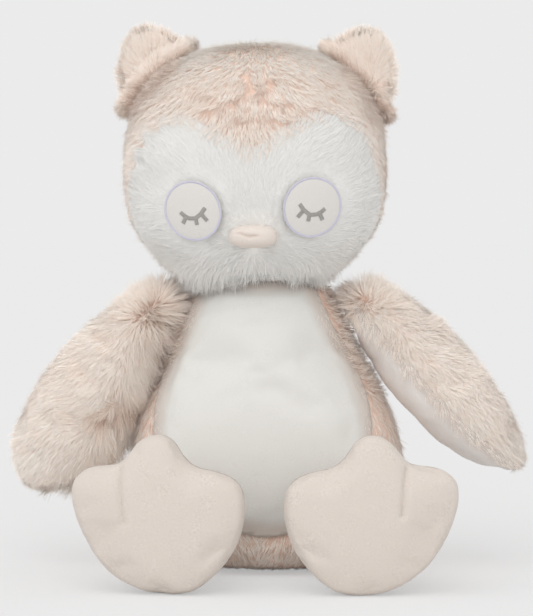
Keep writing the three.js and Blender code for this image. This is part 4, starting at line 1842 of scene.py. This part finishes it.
@dataclass
class Beak:
    """A small stuffed velour roll with a wavy mouth line pressed across it as a crease, painted darker in
    the crease as shade.
    """

    depth: float = 18 * MM
    fullness: float = 2.6
    crease: float = 0.8 * MM
    crease_width: float = 0.13
    height: float = 0.1
    slant: float = -0.3
    wave: float = 0.07
    waves: float = 9
    middle: float = -0.2
    half_length: float = 0.5

    def build(self) -> None:
        """Makes the roll and draws the mouth line into it."""
        low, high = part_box("beak")
        half = Vector(((high.x - low.x) / 2, self.depth / 2, (high.z - low.z) / 2))
        middle = Vector(((low.x + high.x) / 2, low.y + half.y, (low.z + high.z) / 2))
        bm = bmesh.new()
        bmesh.ops.create_uvsphere(bm, u_segments=48, v_segments=32, radius=1)
        bmesh.ops.rotate(bm, verts=bm.verts, cent=(0, 0, 0), matrix=QUARTER_TURN)
        for vert in bm.verts:
            out = vert.co.normalized()
            place = out * sum(abs(value) ** self.fullness for value in out) ** (-1 / self.fullness)
            groove = self.mouth(place.x, place.z) * (1 if place.y < 0 else 0) * self.crease
            vert.co = Vector((place.x * half.x, place.y * half.y + groove, place.z * half.z)) + middle
        bmesh.ops.recalc_face_normals(bm, faces=bm.faces)
        piece = piece_from("beak_roll", bm)
        points = (points_of(piece.data) - np.array(middle)) / np.array(half)
        # Painted shade: the seam mark follows the mouth crease on the roll's face
        keep_attribute(piece.data, "seam", self.mouth(points[:, 0], points[:, 2]) * (points[:, 1] < 0))
        dress(piece, BEAK_CLOTH, "head", "beak_velour", "beak")

    def mouth(self, across: Points | float, up: Points | float) -> Points | float:
        """How near a place on the roll's face is to the wavy mouth line.

        Args:
            across: its place across the roll, from -1 to 1.
            up: its place up the roll, from -1 to 1.

        Returns:
            A nearness from 0 to 1.
        """
        line = self.height + self.slant * across + self.wave * np.sin(self.waves * across) - up
        ends = (across - self.middle) / self.half_length
        return np.exp(-((line / self.crease_width) ** 2)) * np.exp(-(ends**4))


@dataclass
class Ear:
    """A rounded fur ear with a hollow front and a crease where it is gathered to the head, painted darker
    as shade.
    """

    side: Side
    voxel: float = 3 * MM
    rounds: int = 6
    inset: float = 3 * MM
    hollow: float = 5 * MM
    front: tuple[float, float] = (0.1, 0.6)
    reach: float = 24 * MM
    sewn: tuple[float, float] = (1 * MM, 6 * MM)
    flare: float = 2.6
    crease_reach: float = 4.5 * MM
    rise: float = 0.1
    seed: int = 51
    base: float = 4 * MM
    pile: Pile = Pile(
        22000,
        8.5 * MM,
        0.6 * MM,
        lift=math.radians(12),
        unruly=math.radians(9),
        loose=0.15,
        clump=3 * MM,
        contrast=0.3,
    )

    def build(self) -> None:
        """Makes the stuffed ear and its fur."""
        node = f"{self.side.value}_ear"
        skin = stuffed_form(f"{node}_skin", (node,), self.voxel, self.rounds)
        self.shape(skin, node)
        dress(skin, BACKING, "head", "tan_fur")
        fur = grow(
            f"{node}_fur",
            skin,
            self.pile,
            self.seed + self.side.sign,
            self.thickness,
            self.combed,
            partings=(self.crease(),),
        )
        dress(fur, TAN_FUR, "head", "tan_fur", node)

    def shape(self, skin: bpy.types.Object, node: str) -> None:
        """Hollows the ear's front and widens it where it is sewn to the head.

        Args:
            skin: the ear's skin.
            node: the frame's node that it stands for.
        """
        low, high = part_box(node)
        mesh = skin.data
        normals, points = normals_of(mesh), points_of(mesh)
        sewn = 1 - smooth_step(distances(tree_of("head_fur_shell", "head_filling"), points), *self.sewn)
        points = points - normals * (self.inset * (1 - self.flare * sewn))[:, None]
        gap = np.linalg.norm((points - np.array((low + high) / 2))[:, [0, 2]], axis=1) / self.reach
        front = smooth_step(-normals[:, 1], *self.front)
        points[:, 1] += self.hollow * np.clip(1 - gap**2, 0, 1) * front
        set_points(mesh, points)
        keep_attribute(mesh, "region", np.zeros(len(mesh.vertices)))

    def thickness(self, points: Points, normals: Points) -> Points:
        """Fur grows all over the ear."""
        return np.ones(len(points))

    def combed(self, points: Points, normals: Points) -> Points:
        """The fur spreads from the middle of the ear's crease.

        Args:
            points: the strands' roots.
            normals: the skin's normals there.

        Returns:
            The way that each strand lies.
        """
        x, z = self.crease().line[1]
        spread = unit(points - np.array((x * MM, self.base, z * MM)))
        return tangent(spread - self.rise * DOWN, normals)

    def crease(self) -> Parting:
        """The line where the ear's front meets the head, from which the fur parts and near which it is
        painted darker as shade.

        Returns:
            The line, as a parting of the fur.
        """
        lines = {
            Side.LEFT: ((37.4, 273.0), (51.2, 260.9), (61.6, 243.3)),
            Side.RIGHT: ((-50.6, 274.1), (-62.0, 264.0), (-73.7, 252.7)),
        }
        return Parting(lines[self.side], self.crease_reach, 0.5)


@dataclass
class Wing:
    """A flat stuffed wing: tan fur outside, smooth lining inside."""

    side: Side
    spread: float
    whorl: Place
    partings: tuple[Parting, ...] = ()
    tuft: float = 0.2
    sewing: Sewing = Sewing(4 * MM, 7, (2.4 * MM, 2.4 * MM), groove=0.5 * MM, swelling=2.5 * MM)
    cloth: float = 1.4 * MM
    fringe: float = 1.6 * MM
    blade: float = 60 * MM
    # How far from the whorl the pile is longer, tousled and standing, and by how much
    shoulder: tuple[float, float] = (14 * MM, 34 * MM)
    shoulder_pile: float = 0.35
    tousle: tuple[float, float] = (4 * MM, 20 * MM)
    tousle_turn: float = 0.6
    stand: tuple[float, float] = (10 * MM, 34 * MM)
    stand_drop: float = 4 * MM
    shoulder_lift: float = 0.9
    inner_lift: float = 0.7
    # Where the fur turns to the body, and how it lies there and along the blade
    inner_edge: tuple[float, float] = (0.0, 0.6)
    inward: Place = (-1.6, -1.2, -0.9)
    falling: float = 1.2
    seed: int = 61
    pile: Pile = Pile(46000, 8.2 * MM, 0.58 * MM)

    def build(self) -> None:
        """Makes the stuffed skin, the lining and the fur."""
        name = f"{self.side.value}_wing"
        nodes = (f"{name}_fur", f"{name}_lining", f"{name}_filling")
        skin = self.sewing.skin(f"{name}_skin", nodes)
        panel = cloth_panel(f"{name}_lining_cloth", skin, self.cloth)
        dress(skin, BACKING, name, "tan_fur", nodes[2])
        dress(panel, LINING_CLOTH, name, "white_velour", nodes[1])
        fur = grow(
            f"{name}_pile",
            skin,
            self.pile,
            self.seed + self.side.sign,
            partial(self.thickness, self.sewing.regions(nodes)),
            self.combed,
            self.shoulder_length,
            self.partings,
            ruffle=self.tousled,
            raised=self.shouldered,
        )
        dress(fur, TAN_FUR, name, "tan_fur", nodes[0])

    def thickness(self, regions: Sequence[Region], points: Points, normals: Points) -> Points:
        """Fur grows on the outer face and just over the seam."""
        index, seam = seam_reading(points, regions)
        return ((index == 0) | (seam < self.fringe)) + TINY

    def near_whorl(self, points: Points, start: float, end: float) -> Points:
        """How near points are to the whorl: 1 up to the start and 0 from the end."""
        return 1 - smooth_step(gap_to(points, self.whorl), start, end)

    def shoulder_length(self, points: Points, normals: Points) -> Points:
        """The pile is longer at the shoulder and on the side towards the body."""
        shoulder = self.near_whorl(points, *self.shoulder)
        return 1 + self.shoulder_pile * shoulder + self.tuft * self.inside(normals)

    def tousled(self, points: Points, normals: Points) -> Points:
        """The fur is tousled round the whorl, and painted a little darker there as shade."""
        return self.tousle_turn * self.near_whorl(points, *self.tousle)

    def shouldered(self, points: Points, normals: Points) -> Points:
        """The fur stands up at the shoulder, beneath the head, and on the side towards the body.

        Args:
            points: the strands' roots.
            normals: the skin's normals there.

        Returns:
            How far each strand stands up.
        """
        above = points[:, 2] - self.whorl[2] > -self.stand_drop
        shoulder = self.near_whorl(points, *self.stand) * above
        return self.shoulder_lift * shoulder + self.inner_lift * self.tuft * self.inside(normals)

    def inside(self, normals: Points) -> Points:
        """How much each normal faces the body, from 0 to 1."""
        return smooth_step(-normals[:, 0] * self.side.sign, *self.inner_edge)

    def combed(self, points: Points, normals: Points) -> Points:
        """The fur spreads from a whorl near the shoulder and lies along the blade.

        Args:
            points: the strands' roots.
            normals: the skin's normals there.

        Returns:
            The way that each strand lies.
        """
        down = np.array((math.sin(self.spread) * self.side.sign, 0, -math.cos(self.spread)))
        spread = points - np.array(self.whorl)
        far = np.linalg.norm(spread, axis=1, keepdims=True) / self.blade
        inward = np.array(self.inward) * (self.side.sign, 1, 1) * self.inside(normals)[:, None]
        return tangent(unit(spread) + down * np.minimum(far, self.falling) + inward, normals)


@dataclass
class Foot:
    """A broad three-toed foot: a velour sole sewn to an upper that narrows to the ankle."""

    side: Side
    fold: Line
    sewing: Sewing = Sewing(
        2.4 * MM,
        5,
        (0.8 * MM, 1.8 * MM),
        groove=0.9 * MM,
        groove_width=2.2 * MM,
        seam_shade_width=2.2 * MM,
        swelling=2 * MM,
        wrap=8 * MM,
    )
    cloth: float = 1.2 * MM
    fold_width: float = 1.8 * MM
    fold_depth: float = 2 * MM
    front: tuple[float, float] = (0.2, 0.7)

    def build(self) -> None:
        """Makes the stuffed upper and the sole."""
        name = f"{self.side.value}_foot"
        nodes = (f"{name}_upper", f"{name}_sole", f"{name}_filling")
        skin = self.sewing.skin(f"{name}_upper_cloth", nodes)
        self.pinch(skin)
        mark_regions(skin, self.sewing.regions(nodes), self.sewing.seam_shade_width)
        panel = cloth_panel(f"{name}_sole_cloth", skin, self.cloth)
        for piece in (skin, panel):
            points = points_of(piece.data)
            points[:, 2] = np.maximum(points[:, 2], FLOOR_CLEARANCE)
            set_points(piece.data, points)
        dress(skin, FOOT_CLOTH, name, "foot_velour", nodes[0], nodes[2])
        dress(panel, FOOT_CLOTH, name, "foot_velour", nodes[1])

    def pinch(self, skin: bpy.types.Object) -> None:
        """Draws the fold that runs down the sole from the notch between two toes.

        Args:
            skin: the foot's skin.
        """
        points, normals = points_of(skin.data), normals_of(skin.data)
        near = Parting(self.fold, self.fold_width).read(points)[1]
        depth = self.fold_depth * near * smooth_step(-normals[:, 1], *self.front)
        set_points(skin.data, points - normals * depth[:, None])


@dataclass
class Studio:
    """The pale floor, the soft lamps and the camera."""

    azimuth: float = math.radians(2)
    elevation: float = math.radians(3)
    distance: float = 1.5
    aim: Place = (-0.003, 0.0, 0.141)
    view_height: float = 0.339
    sensor: float = 24.0
    floor_size: float = 6
    softness: float = math.radians(70)
    lamps: tuple[tuple[str, Place, float], ...] = (
        ("key", (-0.4, -0.8, 1.2), 1.0),
        ("fill", (0.25, -1.0, 0.12), 0.65),
    )
    surround: float = 0.83

    def build(self) -> None:
        """Sets the stage."""
        self.camera()
        self.floor()
        for name, toward, strength in self.lamps:
            lamp = bpy.data.lights.new(name, "SUN")
            lamp.angle = self.softness
            lamp.energy = strength
            self.place(name, lamp, Vector(toward))
        self.sky()
        bpy.context.scene.view_settings.view_transform = "Standard"

    def place(self, name: str, data: bpy.types.ID, toward: Vector) -> bpy.types.Object:
        """Links a camera or a lamp that looks back from a direction.

        Args:
            name: its name.
            data: the camera or lamp.
            toward: the direction in which it stands.

        Returns:
            The new object.
        """
        thing = bpy.data.objects.new(name, data)
        bpy.context.scene.collection.objects.link(thing)
        thing.rotation_euler = (-toward).to_track_quat("-Z", "Y").to_euler()
        return thing

    def camera(self) -> None:
        """A camera at the viewing angle."""
        level = math.cos(self.elevation)
        out = (math.sin(self.azimuth) * level, -math.cos(self.azimuth) * level, math.sin(self.elevation))
        data = bpy.data.cameras.new("camera")
        data.sensor_fit = "VERTICAL"
        data.sensor_height = self.sensor
        data.lens = self.sensor * self.distance / self.view_height
        camera = self.place("camera", data, Vector(out))
        camera.location = Vector(self.aim) + Vector(out) * self.distance
        bpy.context.scene.camera = camera

    def floor(self) -> None:
        """A wide pale floor."""
        bm = bmesh.new()
        bmesh.ops.create_grid(bm, x_segments=1, y_segments=1, size=self.floor_size)
        piece = piece_from("floor", bm)
        piece.data.materials.append(FLOOR_PAPER.material())

    def sky(self) -> None:
        """An even pale surround."""
        world = bpy.data.worlds.new("surround")
        world.use_nodes = True
        tree = world.node_tree
        shade = tree.nodes["Background"]
        shade.inputs["Color"].default_value = BACKGROUND
        level = tree.nodes.new("ShaderNodeMapRange")
        level.inputs["To Min"].default_value = self.surround
        level.inputs["To Max"].default_value = 1
        tree.links.new(looking_rays(tree), level.inputs["Value"])
        tree.links.new(level.outputs["Result"], shade.inputs["Strength"])
        bpy.context.scene.world = world


def main() -> None:
    """Builds the stage and the owl, piece by piece."""
    logging.basicConfig(level=logging.INFO, format="%(name)s %(message)s")
    Studio().build()
    Torso().build()
    Head().build()
    # The crease where the right wing meets the body parts its fur, which is painted darker along it as
    # shade
    crease = ((-54.7, 138.2), (-64.4, 120.3), (-66.6, 107.3), (-73.7, 93.7), (-92.7, 81.3))
    creases = (Parting(crease, 2.6 * MM, 1.4),)
    Wing(Side.LEFT, math.radians(45.3), (0.046, -0.02, 0.146)).build()
    Wing(Side.RIGHT, math.radians(39.5), (-0.058, -0.02, 0.140), creases, tuft=1.0).build()
    Foot(Side.LEFT, ((72.4, 66.0), (71.0, 56.0), (70.0, 42.0))).build()
    Foot(Side.RIGHT, ((-73.6, 64.0), (-73.0, 54.0), (-71.6, 38.0))).build()


if __name__ == "__main__":
    main()
